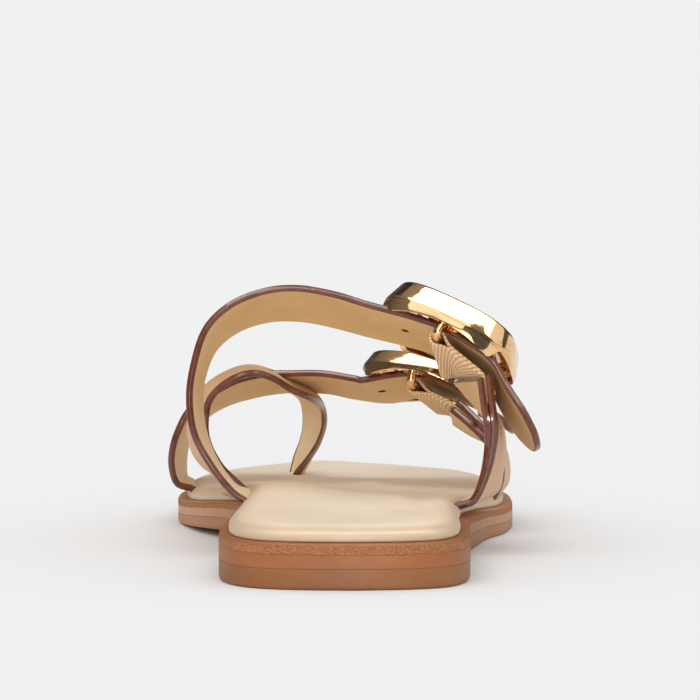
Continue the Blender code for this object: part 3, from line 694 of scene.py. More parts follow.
@dataclass(frozen=True)
class StripCut:
    """How a strip is cut and finished: its thickness, rounded edges and unevenness."""

    thickness: float = 0.0019
    round: float = 0.00060
    bead: float = 0.00018
    step: float = 0.0009
    across: int = 18
    tail_round: float = 0.0
    unevenness: float = 0.00016
    relief: float = 0.00010
    seed: float = 1.0
    grow: float = 0.0
    tongue: float = 0.0


class StripSkin:
    """Closed, round-edged skin over a strip."""

    def __init__(self, form: StrapForm, cut: StripCut) -> None:
        """Lay out the sections along the strip and the points round each section.

        Args:
            form: Path of the strip.
            cut: Thickness and edge finish.
        """
        self.form = form
        self.cut = cut
        self.length = form.length()
        self.stops = self.lay_stops()
        self.section = self.lay_section()

    def lay_stops(self) -> list[float]:
        """Distances along the strip, closer together at its two ends.

        Returns:
            Distances in metres.
        """
        radius = self.cut.round
        ends = (0.0, 0.0, radius * ARC_LOW, radius * ARC_MID, radius)
        inner = self.length - 2 * radius
        count = max(4, round(inner / self.cut.step))
        middle = [radius + inner * index / count for index in range(1, count)]
        return [*ends, *middle, *(self.length - end for end in reversed(ends))]

    def lay_section(self) -> list[tuple[float, float, float, Face]]:
        """Points round the section: share of the width, inset, height and face.

        Returns:
            The points in order, the last one equal to the first.
        """
        cut = self.cut
        half = cut.thickness / 2 + cut.grow
        flat = half - cut.round
        corner = [
            (cut.round, half),
            (cut.round * ARC_MID, flat + cut.round * ARC_HIGH),
            (cut.round * ARC_LOW, flat + cut.round * ARC_MID),
            (0.0, flat),
        ]
        swell = [(-cut.bead * (1 - part * part), flat * part) for part in (0.66, 0.33, 0.0, -0.33, -0.66)]
        edge = corner[1:] + swell + [(inset, -height) for inset, height in reversed(corner[1:])]
        points = []
        for index in range(cut.across + 1):
            points.append((index / cut.across, 0.0, half, Face.OUTER))
        points[-1] = (*points[-1][:3], Face.EDGE)
        for inset, height in edge:
            points.append((1.0, inset - cut.round - cut.grow, height, Face.EDGE))
        for index in range(cut.across + 1):
            points.append((1 - index / cut.across, 0.0, -half, Face.INNER))
        points[-1] = (*points[-1][:3], Face.EDGE)
        for inset, height in reversed(edge):
            points.append((0.0, inset - cut.round - cut.grow, height, Face.EDGE))
        points.append(points[0])
        return points

    def reach(self, row: int, width: float) -> float:
        """Distance from the near edge of a section point.

        Args:
            row: Step round the section.
            width: Width there.

        Returns:
            Distance in metres.
        """
        share, inset = self.section[row][:2]
        inner = self.cut.round + (width - 2 * self.cut.round) * share
        return inner - inset if share > 0.5 else inner + inset

    def place(self, column: int, row: int) -> Vector:
        """World point of a section point.

        Args:
            column: Step along the piece.
            row: Step round the section.

        Returns:
            The point.
        """
        cut = self.cut
        distance = self.stops[column]
        share, inset, height = self.section[row][:3]
        if cut.tail_round > 0:
            outer = min(1.0, abs(2 * share - 1) + abs(inset) / 0.02)
            lost = cut.tail_round * (1 - math.sqrt(max(0.0, 1 - outer * outer)))
            distance -= lost * smooth((self.stops[column] / self.length - 0.75) / 0.25)
        position = self.form.position_at(distance)
        near, far = self.form.edges(position)
        along, across, outward = self.form.axes(position)
        width = (far - near).length
        away = self.reach(row, width)
        part = away / width
        spot = near + across * away
        left = self.stops[column]
        right = self.length - left
        end = min(left, right)
        thin = 1.0
        if end < cut.round:
            rounded = 1 - (1 - end / cut.round) ** 2
            thin = 1 - cut.round / (cut.thickness / 2) * (1 - math.sqrt(max(0.0, rounded)))
        if column in (0, len(self.stops) - 1):
            thin = 0.0
        free = smooth((position - self.form.seat_rows) / 1.5)
        hill = 4 * max(0.0, part * (1 - part)) * self.form.crown * free
        if cut.tongue:
            thin *= 1 - 0.62 * smooth((cut.tongue - end) / (cut.tongue * 0.3))
        level = height * thin
        relief = ripple(spot, 0.011, cut.seed) * cut.relief * free
        uneven = ripple(spot, 0.006, cut.seed + 5) * cut.unevenness * (2 * part - 1) * free
        spot = spot + across * uneven
        if cut.grow and end == 0:
            spot = spot + along * cut.grow * (1 if right == 0 else -1)
        return spot + outward * (hill + relief + level)

    def spread(self, column: int, row: int) -> tuple[float, float]:
        """UV point in metres: distance along, and across from the near edge."""
        return self.stops[column], self.reach(row, 0.028) + 0.05 * (self.section[row][2] < 0)

    def finish(self, column: int, row: int) -> int:
        """Finish of the face between two section points."""
        ends = column < 4 or column > len(self.stops) - 6
        return Face.EDGE.value if ends else self.section[row][3].value

    def add_to(self, mesh: SkinMesh) -> None:
        """Add the skin to a mesh."""
        mesh.grow(len(self.stops) - 1, len(self.section) - 1, self.place, self.spread, self.finish)


class Shade:
    """Node material under construction: adds nodes and wires them."""

    def __init__(self, name: str) -> None:
        """Start a material with its shader.

        Args:
            name: Name of the material.
        """
        self.made = bpy.data.materials.new(name)
        self.made.use_nodes = True
        self.tree = self.made.node_tree
        self.shader = self.tree.nodes["Principled BSDF"]
        self.coords = self.tree.nodes.new("ShaderNodeTexCoord")

    def fixed(self, **values: float) -> None:
        """Set constants on the shader's own sockets; underscores stand for spaces."""
        for name, value in values.items():
            self.shader.inputs[name.replace("_", " ")].default_value = value

    def node(self, kind: str, **settings: Any) -> bpy.types.Node:
        """Add a node and set its properties.

        Args:
            kind: Node type.
            settings: Properties of the node.

        Returns:
            The new node.
        """
        made = self.tree.nodes.new(kind)
        for name, value in settings.items():
            setattr(made, name, value)
        return made

    def wire(self, source: Any, target: Any) -> None:
        """Link an output socket to an input socket."""
        self.tree.links.new(source, target)

    def mapped(self, stretch: tuple[float, float, float], on_uv: bool = False, turn: float = 0.0) -> Any:
        """Coordinates stretched along each axis.

        Args:
            stretch: Scale of the three axes.
            on_uv: True to follow the piece's UV map, False for Object coordinates.
            turn: Turn about the third axis, in radians.

        Returns:
            The vector socket.
        """
        mapping = self.node("ShaderNodeMapping")
        mapping.inputs["Scale"].default_value = stretch
        mapping.inputs["Rotation"].default_value = (0.0, 0.0, turn)
        self.wire(self.coords.outputs["UV" if on_uv else "Object"], mapping.inputs["Vector"])
        return mapping.outputs["Vector"]

    def noise(self, source: Any, scale: float, detail: float = 3.0, rough: float = 0.55) -> Any:
        """Noise of a scale over a vector socket.

        Args:
            source: Vector socket.
            scale: Scale of the pattern.
            detail: Octaves of the noise.
            rough: Roughness between its octaves.

        Returns:
            Factor socket.
        """
        made = self.node("ShaderNodeTexNoise")
        made.inputs["Scale"].default_value = scale
        made.inputs["Detail"].default_value = detail
        made.inputs["Roughness"].default_value = rough
        self.wire(source, made.inputs["Vector"])
        return made.outputs["Fac"]

    def cells(self, source: Any, scale: float) -> Any:
        """Distance inside the cells of a leather grain.

        Args:
            source: Vector socket.
            scale: Scale of the pattern.

        Returns:
            Distance socket.
        """
        made = self.node("ShaderNodeTexVoronoi")
        made.inputs["Scale"].default_value = scale
        self.wire(source, made.inputs["Vector"])
        return made.outputs["Distance"]

    def ramp(self, factor: Any, stops: Sequence[tuple[float, Sequence[float]]]) -> Any:
        """Colour ramp over a factor.

        Args:
            factor: Socket with the factor.
            stops: Place and linear colour of each stop.

        Returns:
            The colour socket.
        """
        made = self.node("ShaderNodeValToRGB")
        elements = made.color_ramp.elements
        while len(elements) < len(stops):
            elements.new(0.5)
        for element, (place, color) in zip(elements, stops):
            element.position = place
            element.color = (*color, 1.0)
        self.wire(factor, made.inputs["Fac"])
        return made.outputs["Color"]

    def mix(self, factor: Any, first: Any, second: Any, blend: str = "MIX") -> Any:
        """Mix two colours; each argument is a socket or a value.

        Args:
            factor: Share of the second colour.
            first: First socket or value.
            second: Second socket or value.
            blend: Blend mode.

        Returns:
            Colour socket.
        """
        made = self.node("ShaderNodeMix", data_type="RGBA", blend_type=blend)
        for socket, value in ((made.inputs[0], factor), (made.inputs[6], first), (made.inputs[7], second)):
            if isinstance(value, bpy.types.NodeSocket):
                self.wire(value, socket)
            elif isinstance(value, (int, float)):
                socket.default_value = value
            else:
                socket.default_value = (*value, 1.0)
        return made.outputs[2]

    def maths(self, operation: str, first: Any, second: Any = 0.0) -> Any:
        """Math node on sockets or numbers.

        Args:
            operation: Operation of the node.
            first: First socket or number.
            second: Second socket or number.

        Returns:
            Result socket.
        """
        made = self.node("ShaderNodeMath", operation=operation)
        for socket, value in zip(made.inputs, (first, second)):
            if isinstance(value, bpy.types.NodeSocket):
                self.wire(value, socket)
            else:
                socket.default_value = value
        return made.outputs[0]

    def range(self, value: Any, low: float, high: float, to_low: float, to_high: float) -> Any:
        """Map a number from one range smoothly to another.

        Args:
            value: Socket with the number.
            low: Start of the range.
            high: End of the range.
            to_low: Result at the start.
            to_high: Result at the end.

        Returns:
            Result socket.
        """
        made = self.node("ShaderNodeMapRange", interpolation_type="SMOOTHSTEP")
        for socket, number in zip(made.inputs[1:5], (low, high, to_low, to_high)):
            socket.default_value = number
        self.wire(value, made.inputs[0])
        return made.outputs[0]

    def axis(self, source: Any, name: str) -> Any:
        """One axis of a vector socket.

        Args:
            source: Vector socket.
            name: Name of the axis.

        Returns:
            The axis's socket.
        """
        made = self.node("ShaderNodeSeparateXYZ")
        self.wire(source, made.inputs[0])
        return made.outputs[name]

    def raise_by(self, height: Any, distance: float, strength: float = 1.0, under: Any = None) -> Any:
        """Bump by a height socket, over an earlier bump's normal.

        Args:
            height: Height socket.
            distance: Depth of the bump in metres.
            strength: Strength of the bump.
            under: Normal socket of an earlier bump.

        Returns:
            Normal socket.
        """
        made = self.node("ShaderNodeBump")
        made.inputs["Distance"].default_value = distance
        made.inputs["Strength"].default_value = strength
        self.wire(height, made.inputs["Height"])
        if under is not None:
            self.wire(under, made.inputs["Normal"])
        return made.outputs["Normal"]

    def finish(self, color: Any, rough: Any, normal: Any) -> bpy.types.Material:
        """Wire colour, roughness and normal into the shader.

        Args:
            color: Colour socket.
            rough: Roughness socket.
            normal: Normal socket.

        Returns:
            The finished material.
        """
        self.wire(color, self.shader.inputs["Base Color"])
        self.wire(rough, self.shader.inputs["Roughness"])
        self.wire(normal, self.shader.inputs["Normal"])
        return self.made


Color = tuple[float, float, float]


def tone(red: int, green: int, blue: int, gain: float = 1.0) -> Color:
    """Linear colour of a screen colour, made lighter or darker by a gain.

    Args:
        red: Red from 0 to 255.
        green: Green from 0 to 255.
        blue: Blue from 0 to 255.
        gain: Factor on the linear colour.

    Returns:
        Linear red, green and blue.
    """
    made = []
    for value in (red, green, blue):
        share = value / 255
        linear = share / 12.92 if share <= 0.04045 else ((share + 0.055) / 1.055) ** 2.4
        made.append(min(1.0, linear * gain))
    return made[0], made[1], made[2]


@dataclass(frozen=True)
class StrapLeather:
    """Vegetable-tanned strap leather, with pores, long fibres and soft mottling."""

    name: str
    dark: Color
    light: Color
    low: Color
    roughness: float = 0.46
    grain: float = 0.00005

    def make(self) -> bpy.types.Material:
        """Build the material.

        Returns:
            The finished material.
        """
        shade = Shade(self.name)
        flat = shade.mapped((1.0, 1.0, 1.0))
        fibre = shade.mapped((1.0, 3.2, 1.0), on_uv=True)
        mottle = shade.noise(flat, 38.0, 4.0)
        color = shade.ramp(mottle, ((0.30, self.dark), (0.72, self.light)))
        height = shade.range(shade.axis(flat, "Z"), 0.014, 0.046, 1.0, 0.0)
        color = shade.mix(height, color, self.low)
        streak = shade.noise(fibre, 420.0, 5.0, 0.6)
        color = shade.mix(shade.range(streak, 0.35, 0.75, 0.0, 0.22), color, self.dark)
        pore = shade.cells(flat, 1250.0)
        color = shade.mix(shade.range(pore, 0.0, 0.22, 0.18, 0.0), color, self.dark, "MULTIPLY")
        rough = shade.range(streak, 0.2, 0.8, self.roughness - 0.07, self.roughness + 0.10)
        normal = shade.raise_by(streak, self.grain * 2.0)
        normal = shade.raise_by(pore, self.grain, 0.8, normal)
        normal = shade.raise_by(shade.noise(flat, 120.0, 2.0), 0.00018, 0.7, normal)
        shade.fixed(Specular_IOR_Level=0.30, Sheen_Weight=0.04, Sheen_Roughness=0.5)
        return shade.finish(color, rough, normal)


@dataclass(frozen=True)
class PaintedEdge:
    """Brown edge paint with a rounded, slightly uneven gloss."""

    name: str
    dark: Color
    light: Color
    roughness: float = 0.30

    def make(self) -> bpy.types.Material:
        """Build the material.

        Returns:
            The finished material.
        """
        shade = Shade(self.name)
        flat = shade.mapped((1.0, 1.0, 1.0))
        uneven = shade.noise(flat, 260.0, 3.0)
        color = shade.ramp(uneven, ((0.30, self.dark), (0.74, self.light)))
        speck = shade.noise(flat, 1700.0, 2.0)
        color = shade.mix(shade.range(speck, 0.62, 0.8, 0.0, 0.35), color, self.light)
        rough = shade.range(uneven, 0.3, 0.7, self.roughness - 0.06, self.roughness + 0.10)
        normal = shade.raise_by(uneven, 0.00015, 0.7)
        normal = shade.raise_by(speck, 0.00002, 0.5, normal)
        shade.fixed(Coat_Weight=1.0, Coat_Roughness=0.06, Specular_IOR_Level=0.2)
        return shade.finish(color, rough, normal)


@dataclass(frozen=True)
class StackedEdge:
    """Side of a stacked sole layer, with painted sheen that makes it paler towards the toe. The piece's UV
    holds the depth below the layer's top.
    """

    name: str
    base: Color
    warm: Color
    # pale: tone of the painted sheen towards the toe, and of the light fibres in the raw band
    pale: Color
    fibre: Color
    band: tuple[float, float]
    roughness: float = 0.5

    def make(self) -> bpy.types.Material:
        """Build the material.

        Returns:
            The finished material.
        """
        shade = Shade(self.name)
        flat = shade.mapped((1.0, 1.0, 1.0))
        sheet = shade.mapped((1.0, 1.0, 1.0), on_uv=True)
        depth = shade.axis(sheet, "Y")
        tones = shade.noise(shade.mapped((1.0, 1.0, 2.5)), 45.0, 4.0)
        color = shade.ramp(tones, ((0.28, self.base), (0.80, self.warm)))
        # Painted sheen: paler towards the toe, by the object's y
        forward = shade.range(shade.axis(flat, "Y"), 0.045, 0.125, 0.0, 0.85)
        color = shade.mix(forward, color, self.pale)
        ragged = shade.noise(flat, 900.0, 3.0)
        low, high = self.band
        edge = shade.maths("ADD", depth, shade.range(ragged, 0.25, 0.75, -0.045, 0.045))
        entered = shade.range(edge, low, low + 0.03, 0.0, 1.0)
        inside = shade.maths("MULTIPLY", entered, shade.range(edge, high - 0.03, high, 1.0, 0.0))
        speckle = shade.noise(shade.mapped((1.0, 1.0, 1.8)), 1500.0, 4.0, 0.7)
        deep = tuple(0.6 * part for part in self.fibre)
        raw = shade.ramp(speckle, ((0.34, deep), (0.50, self.fibre), (0.74, self.pale)))
        color = shade.mix(inside, color, raw)
        fine = shade.noise(flat, 1100.0, 3.0)
        rough = shade.range(inside, 0.0, 1.0, self.roughness, 0.9)
        tall = shade.maths("MULTIPLY", speckle, inside)
        normal = shade.raise_by(tall, 0.00050)
        normal = shade.raise_by(fine, 0.00004, 0.7, normal)
        normal = shade.raise_by(tones, 0.0003, 0.5, normal)
        shade.fixed(Specular_IOR_Level=0.22, Coat_Weight=0.06, Coat_Roughness=0.30)
        return shade.finish(color, rough, normal)


@dataclass(frozen=True)
class FootbedLeather:
    """Pale smooth lining leather, with fine pores, soft relief and painted shade on its rounded edge."""

    name: str
    dark: Color
    light: Color
    # rim: darker tone for the painted shade on the footbed's rounded edge
    rim: Color
    roughness: float = 0.42

    def make(self) -> bpy.types.Material:
        """Build the material.

        Returns:
            The finished material.
        """
        shade = Shade(self.name)
        flat = shade.mapped((1.0, 1.0, 1.0))
        mottle = shade.noise(flat, 26.0, 4.0)
        color = shade.ramp(mottle, ((0.30, self.dark), (0.66, self.light)))
        # Painted shade: the rounded edge, deeper in the UV depth, turns towards the darker rim tone
        depth = shade.axis(shade.mapped((1.0, 1.0, 1.0), on_uv=True), "Y")
        color = shade.mix(shade.range(depth, -0.02, 0.30, 0.0, 0.85), color, self.rim)
        pore = shade.cells(flat, 900.0)
        color = shade.mix(shade.range(pore, 0.0, 0.20, 0.16, 0.0), color, self.dark, "MULTIPLY")
        fine = shade.noise(flat, 1300.0, 4.0, 0.6)
        rough = shade.range(fine, 0.25, 0.75, self.roughness - 0.06, self.roughness + 0.08)
        soft = shade.noise(shade.mapped((1.0, 0.45, 1.0)), 85.0, 3.0)
        normal = shade.raise_by(soft, 0.00028, 0.8)
        normal = shade.raise_by(pore, 0.00004, 0.8, normal)
        normal = shade.raise_by(fine, 0.00004, 0.7, normal)
        shade.fixed(Specular_IOR_Level=0.5, Sheen_Weight=0.08, Coat_Weight=0.12, Coat_Roughness=0.3)
        return shade.finish(color, rough, normal)


@dataclass(frozen=True)
class MirrorGold:
    """Polished plated metal with faint hairlines, a slow ripple in its polish and painted dark reflection
    streaks in its colour.
    """

    name: str
    dark: Color
    light: Color
    roughness: float = 0.07

    def make(self) -> bpy.types.Material:
        """Build the material.

        Returns:
            The finished material.
        """
        shade = Shade(self.name)
        flat = shade.mapped((1.0, 1.0, 1.0))
        warm = shade.noise(flat, 60.0, 2.0)
        color = shade.ramp(warm, ((0.30, self.dark), (0.70, self.light)))
        # Painted reflection: long dark streaks of a brown tone in the metal's colour
        streak = shade.noise(shade.mapped((70.0, 1500.0, 1.0), on_uv=True), 1.0, 2.0)
        color = shade.mix(shade.range(streak, 0.50, 0.66, 0.0, 0.5), color, tone(112, 70, 34))
        line = shade.noise(shade.mapped((180.0, 2600.0, 900.0)), 1.0, 2.0)
        rough = shade.range(line, 0.3, 0.7, self.roughness - 0.03, self.roughness + 0.05)
        normal = shade.raise_by(shade.noise(flat, 150.0, 2.0), 0.00010, 0.5)
        normal = shade.raise_by(line, 0.000004, 0.5, normal)
        shade.fixed(Metallic=1.0)
        return shade.finish(color, rough, normal)


@dataclass(frozen=True)
class RibbedWebbing:
    """Elastic webbing with fine herringbone ribs that follow the piece's UV, with painted shade in the
    troughs between them.
    """

    name: str
    dark: Color
    light: Color
    pitch: float = 0.00084
    turn_line: float = 0.016

    def make(self) -> bpy.types.Material:
        """Build the material.

        Returns:
            The finished material.
        """
        shade = Shade(self.name)
        sheet = shade.mapped((1.0, 1.0, 1.0), on_uv=True)
        along = shade.axis(sheet, "X")
        across = shade.axis(sheet, "Y")
        lean = shade.maths("ABSOLUTE", shade.maths("SUBTRACT", across, self.turn_line))
        slope = shade.maths("ADD", along, shade.maths("MULTIPLY", lean, 0.10))
        wobble = shade.noise(sheet, 700.0, 2.0)
        slope = shade.maths("ADD", slope, shade.maths("MULTIPLY", wobble, self.pitch * 0.18))
        wave = shade.maths("SINE", shade.maths("MULTIPLY", slope, 2 * math.pi / self.pitch))
        rib = shade.range(wave, -1.0, 1.0, 0.0, 1.0)
        pick = shade.maths("SINE", shade.maths("MULTIPLY", across, 2 * math.pi / (self.pitch * 1.3)))
        fuzz = shade.noise(sheet, 3200.0, 4.0, 0.7)
        # Rib pattern of the weave, with painted shade: darker in the troughs, lighter on the crests
        color = shade.ramp(rib, ((0.12, self.dark), (0.62, self.light)))
        color = shade.mix(shade.range(fuzz, 0.35, 0.75, 0.0, 0.28), color, self.light)
        rough = shade.range(fuzz, 0.2, 0.8, 0.72, 0.95)
        normal = shade.raise_by(rib, 0.00014)
        normal = shade.raise_by(shade.range(pick, -1.0, 1.0, 0.0, 1.0), 0.00005, 0.6, normal)
        normal = shade.raise_by(fuzz, 0.00010, 0.8, normal)
        shade.fixed(Sheen_Weight=0.35, Sheen_Roughness=0.6, Specular_IOR_Level=0.25)
        return shade.finish(color, rough, normal)


@dataclass(frozen=True)
class Finishes:
    """Every finish of the sandal, by the part that wears it."""

    outer: StrapLeather = StrapLeather(
        "strap_outer", tone(188, 140, 94), tone(212, 168, 118), tone(208, 166, 120)
    )
    inner: StrapLeather = StrapLeather(
        "strap_inner", tone(207, 170, 116), tone(223, 190, 138), tone(234, 211, 174), 0.6, 0.00007
    )
    edge: PaintedEdge = PaintedEdge("edge_paint", tone(86, 40, 24), tone(118, 60, 38))
    # Third tone of each sole layer: its painted sheen towards the toe, also the light of its fibres
    outsole: StackedEdge = StackedEdge(
        "outsole_edge", tone(137, 86, 50), tone(153, 101, 62), tone(176, 126, 92),
        tone(150, 96, 62), (2.0, 3.0),
    )
    midsole: StackedEdge = StackedEdge(
        "midsole_edge", tone(148, 88, 51), tone(166, 105, 64), tone(194, 148, 113),
        tone(172, 112, 66), (0.075, 0.45),
    )
    # Third tone: the painted shade on the footbed's rounded edge
    footbed: FootbedLeather = FootbedLeather(
        "footbed_lining", tone(235, 212, 180), tone(244, 227, 203), tone(196, 168, 134)
    )
    gold: MirrorGold = MirrorGold("polished_gold", tone(238, 188, 128), tone(250, 212, 164))
    # Webbing: its dark tone is the painted shade in the rib troughs
    webbing: RibbedWebbing = RibbedWebbing("ribbed_webbing", tone(190, 144, 92), tone(242, 208, 156))

    def made(self) -> dict[str, bpy.types.Material]:
        """Build every material once."""
        names = ("outer", "inner", "edge", "outsole", "midsole", "footbed", "gold", "webbing")
        return {name: getattr(self, name).make() for name in names}


@dataclass(frozen=True)
class Ring:
    """One ring of a sole layer: its share of the outline, height, drop and tuck."""

    share: float
    top: bool
    drop: float = 0.0
    tuck: float = 0.0


@dataclass
class SoleUnit:
    """Outsole, midsole and moulded footbed."""

    form: SoleForm
    finishes: dict[str, bpy.types.Material]
    count: int = 320
    layer_gap: float = 0.00004
    rim: float = FOOTBED_RIM
    side_steps: int = 8
    edge_round: float = 0.0009
    footbed_round: float = 0.0031
    folds: tuple[Fold, ...] = (
        Fold((-0.021, 0.098), (-0.013, 0.104), 0.006, 0.00055),
        Fold((0.004, 0.126), (0.010, 0.130), 0.007, 0.0007),
        Fold((0.0135, 0.085), (0.0135, 0.085), 0.0022, -0.0005),
        Fold((0.0160, 0.093), (0.0160, 0.093), 0.0020, -0.0005),
        Fold((0.0145, 0.072), (0.0145, 0.072), 0.0022, -0.0004),
        Fold((0.0225, 0.100), (0.0185, 0.030), 0.0050, -0.0007),
    )

    def layer(
        self, name: str, finish: str, bottom: Callable[[float, float], float],
        top: Callable[[float, float], float], inset: float, rounds: tuple[float, float],
        shares: Sequence[float], plan: float = 1.0,
    ) -> bpy.types.Object:
        """Build one layer as rings from its underside to its top.

        Args:
            name: Name of the piece.
            finish: Name of its finish.
            bottom: Height of the underside over a point.
            top: Height of the top over a point.
            inset: Distance of the layer's edge inside the sole's outline.
            rounds: Radii of the lower and the upper edge.
            shares: Sizes of the top's rings, from the edge to the middle line.
            plan: How much wider than tall the upper rounding is.

        Returns:
            The finished object.
        """
        edge = self.form.edge_points(self.count, inset)
        feet = self.form.spine_points(edge)
        low, high = rounds
        rings = [Ring(share, False) for share in (0.0, 0.45, 0.80)]
        for turn in LOWER_TURNS:
            angle = math.radians(turn)
            rings.append(Ring(1.0, False, low * (1 - math.sin(angle)), low * (1 - math.cos(angle))))
        for step in range(self.side_steps + 1):
            rings.append(Ring(-1.0, True, step / self.side_steps))
        side_end = len(rings)
        for turn in UPPER_TURNS:
            angle = math.radians(turn)
            rings.append(Ring(1.0, True, high * (math.sin(angle) - 1), plan * high * (1 - math.cos(angle))))
        rings += [Ring(share, True, 0.0, plan * high) for share in shares]
        steps = [0.0]
        for before, after in zip(edge, edge[1:] + edge[:1]):
            steps.append(steps[-1] + (after - before).length)

        def place(column: int, row: int) -> Vector:
            """World point of a ring's point.

            Args:
                column: Step along the piece.
                row: Step round the section.

            Returns:
                The point.
            """
            point = edge[column % self.count]
            foot = feet[column % self.count]
            ring = rings[row]
            ray = point - foot
            share = 1.0 if ring.share < 0 else ring.share
            scale = max(0.0, (ray.length - ring.tuck) / ray.length) * share
            spot = foot + ray * scale
            lower = bottom(spot.x, spot.y)
            upper = top(spot.x, spot.y)
            if ring.share < 0:
                start = lower + low
                height = start + (upper - high - start) * ring.drop
            else:
                height = (upper if ring.top else lower) + ring.drop
            swell = ripple(Vector((point.x, point.y, height)), 0.009, 3.0) * 0.00010
            if share == 1.0:
                spot += ray.normalized() * swell
            return Vector((spot.x, spot.y, height))

        def spread(column: int, row: int) -> tuple[float, float]:
            """UV point: metres round the layer, and the share of its depth from the top.

            Args:
                column: Step along the piece.
                row: Step round the section.

            Returns:
                The UV point.
            """
            spot = place(column, row)
            point = edge[column % self.count]
            lower = bottom(point.x, point.y)
            upper = top(point.x, point.y)
            depth = (upper - spot.z) / (upper - lower)
            if row > side_end + 6:
                depth = -0.1
            return steps[column], depth

        mesh = SkinMesh()
        mesh.grow(self.count, len(rings) - 1, place, spread, lambda column, row: 0)
        return mesh.finished(name, [self.finishes[finish]], 40)

    def footbed_height(self, x: float, y: float) -> float:
        """Height of the footbed with its creases and soft relief.

        Args:
            x: World x.
            y: World y.

        Returns:
            Height in metres.
        """
        form = self.form
        height = form.footbed_top(x, y)
        height += sum(fold.lift(x, y) for fold in self.folds)
        height += ripple(Vector((x, y * 0.5, 0.0)), 0.012, 8.0) * 0.00018
        return height

    def build(self) -> list[tuple[bpy.types.Object, str, str]]:
        """Build the three layers.

        Returns:
            Each piece with the node that it replaces and its material slot.
        """
        form = self.form
        round_edge = self.edge_round
        outsole = self.layer(
            "outsole_layer", "outsole", form.underside, form.outsole_top, 0.0,
            (round_edge, round_edge * 0.08), (0.80, 0.45, 0.0),
        )
        midsole = self.layer(
            "midsole_layer", "midsole",
            lambda x, y: form.outsole_top(x, y) + self.layer_gap, form.midsole_top, 0.0,
            (round_edge * 0.08, round_edge), (0.80, 0.45, 0.0),
        )
        shares = [0.968 - 0.033 * step for step in range(29)] + [0.0]
        footbed = self.layer(
            "footbed_cover", "footbed",
            lambda x, y: form.midsole_top(x, y) + self.layer_gap, self.footbed_height, self.rim,
            (round_edge * 0.6, self.footbed_round), shares, 2.3,
        )
        return [
            (outsole, "outsole", "outsole_leather"),
            (midsole, "midsole", "midsole_leather"),
            (footbed, "footbed", "footbed_leather"),
        ]


@dataclass
class StrapUnit:
    """One leather strap with its prong holes and, on the toe strap, its slot."""

    name: str
    form: StrapForm
    cut: StripCut
    finishes: dict[str, bpy.types.Material]
    hole_rows: tuple[float, ...] = ()
    hole_radius: float = 0.0011

    def hole(self, row: float) -> bpy.types.Object:
        """Round cutter through the strap's middle at a table row.

        Args:
            row: Table row.

        Returns:
            The cutter.
        """
        position = row + self.form.seat_rows
        near, far = self.form.edges(position)
        along, across, outward = self.form.axes(position)
        bm = bmesh.new()
        bmesh.ops.create_cone(
            bm, cap_ends=True, segments=20, radius1=self.hole_radius, radius2=self.hole_radius, depth=0.010
        )
        for vert in bm.verts:
            x, y, z = vert.co
            vert.co = (near + far) / 2 + along * x + across * y + outward * z
        return self.cutter(bm)

    def cutter(self, bm: bmesh.types.BMesh) -> bpy.types.Object:
        """Object for a Boolean whose faces take the edge finish.

        Args:
            bm: Shape of the cutter.

        Returns:
            The new object.
        """
        bmesh.ops.recalc_face_normals(bm, faces=bm.faces)
        mesh = bpy.data.meshes.new(self.name + "_cutter")
        bm.to_mesh(mesh)
        bm.free()
        for key in ("outer", "inner", "edge"):
            mesh.materials.append(self.finishes[key])
        mesh.polygons.foreach_set("material_index", [Face.EDGE.value] * len(mesh.polygons))
        made = bpy.data.objects.new(mesh.name, mesh)
        bpy.context.scene.collection.objects.link(made)
        return made

    def slot_cutter(self, other: StrapForm, clearance: float) -> bpy.types.Object:
        """Cutter in the shape of another strap, with clearance round it.

        Args:
            other: Strap that runs through.
            clearance: Distance left round it.

        Returns:
            The cutter.
        """
        grown = StripCut(grow=clearance, step=0.0022, across=8, relief=0.0, unevenness=0.0)
        mesh = SkinMesh()
        StripSkin(other, grown).add_to(mesh)
        return self.cutter(mesh.bm)

    def build(self, threaded: StrapForm | None = None) -> bpy.types.Object:
        """Build the strap.

        Args:
            threaded: Strap that runs through a slot in this one.

        Returns:
            The finished object.
        """
        mesh = SkinMesh()
        StripSkin(self.form, self.cut).add_to(mesh)
        keys = ("outer", "inner", "edge")
        strap = mesh.finished(self.name + "_leather", [self.finishes[key] for key in keys], 55)
        cutters = [self.hole(row) for row in self.hole_rows]
        if threaded is not None:
            cutters.append(self.slot_cutter(threaded, 0.0005))
        for cutter in cutters:
            self.subtract(strap, cutter)
        return strap

    @staticmethod
    def subtract(strap: bpy.types.Object, cutter: bpy.types.Object) -> None:
        """Cut the strap and throw the cutter away.

        Args:
            strap: Object to cut.
            cutter: Object to cut it with.
        """
        modifier = strap.modifiers.new("cut", "BOOLEAN")
        modifier.operation = "DIFFERENCE"
        modifier.solver = "EXACT"
        modifier.object = cutter
        bpy.context.view_layer.update()
        graph = bpy.context.evaluated_depsgraph_get()
        made = bpy.data.meshes.new_from_object(strap.evaluated_get(graph))
        strap.modifiers.clear()
        old = strap.data
        strap.data = made
        made.name = strap.name
        bpy.data.meshes.remove(old)
        bpy.data.objects.remove(cutter, do_unlink=True)


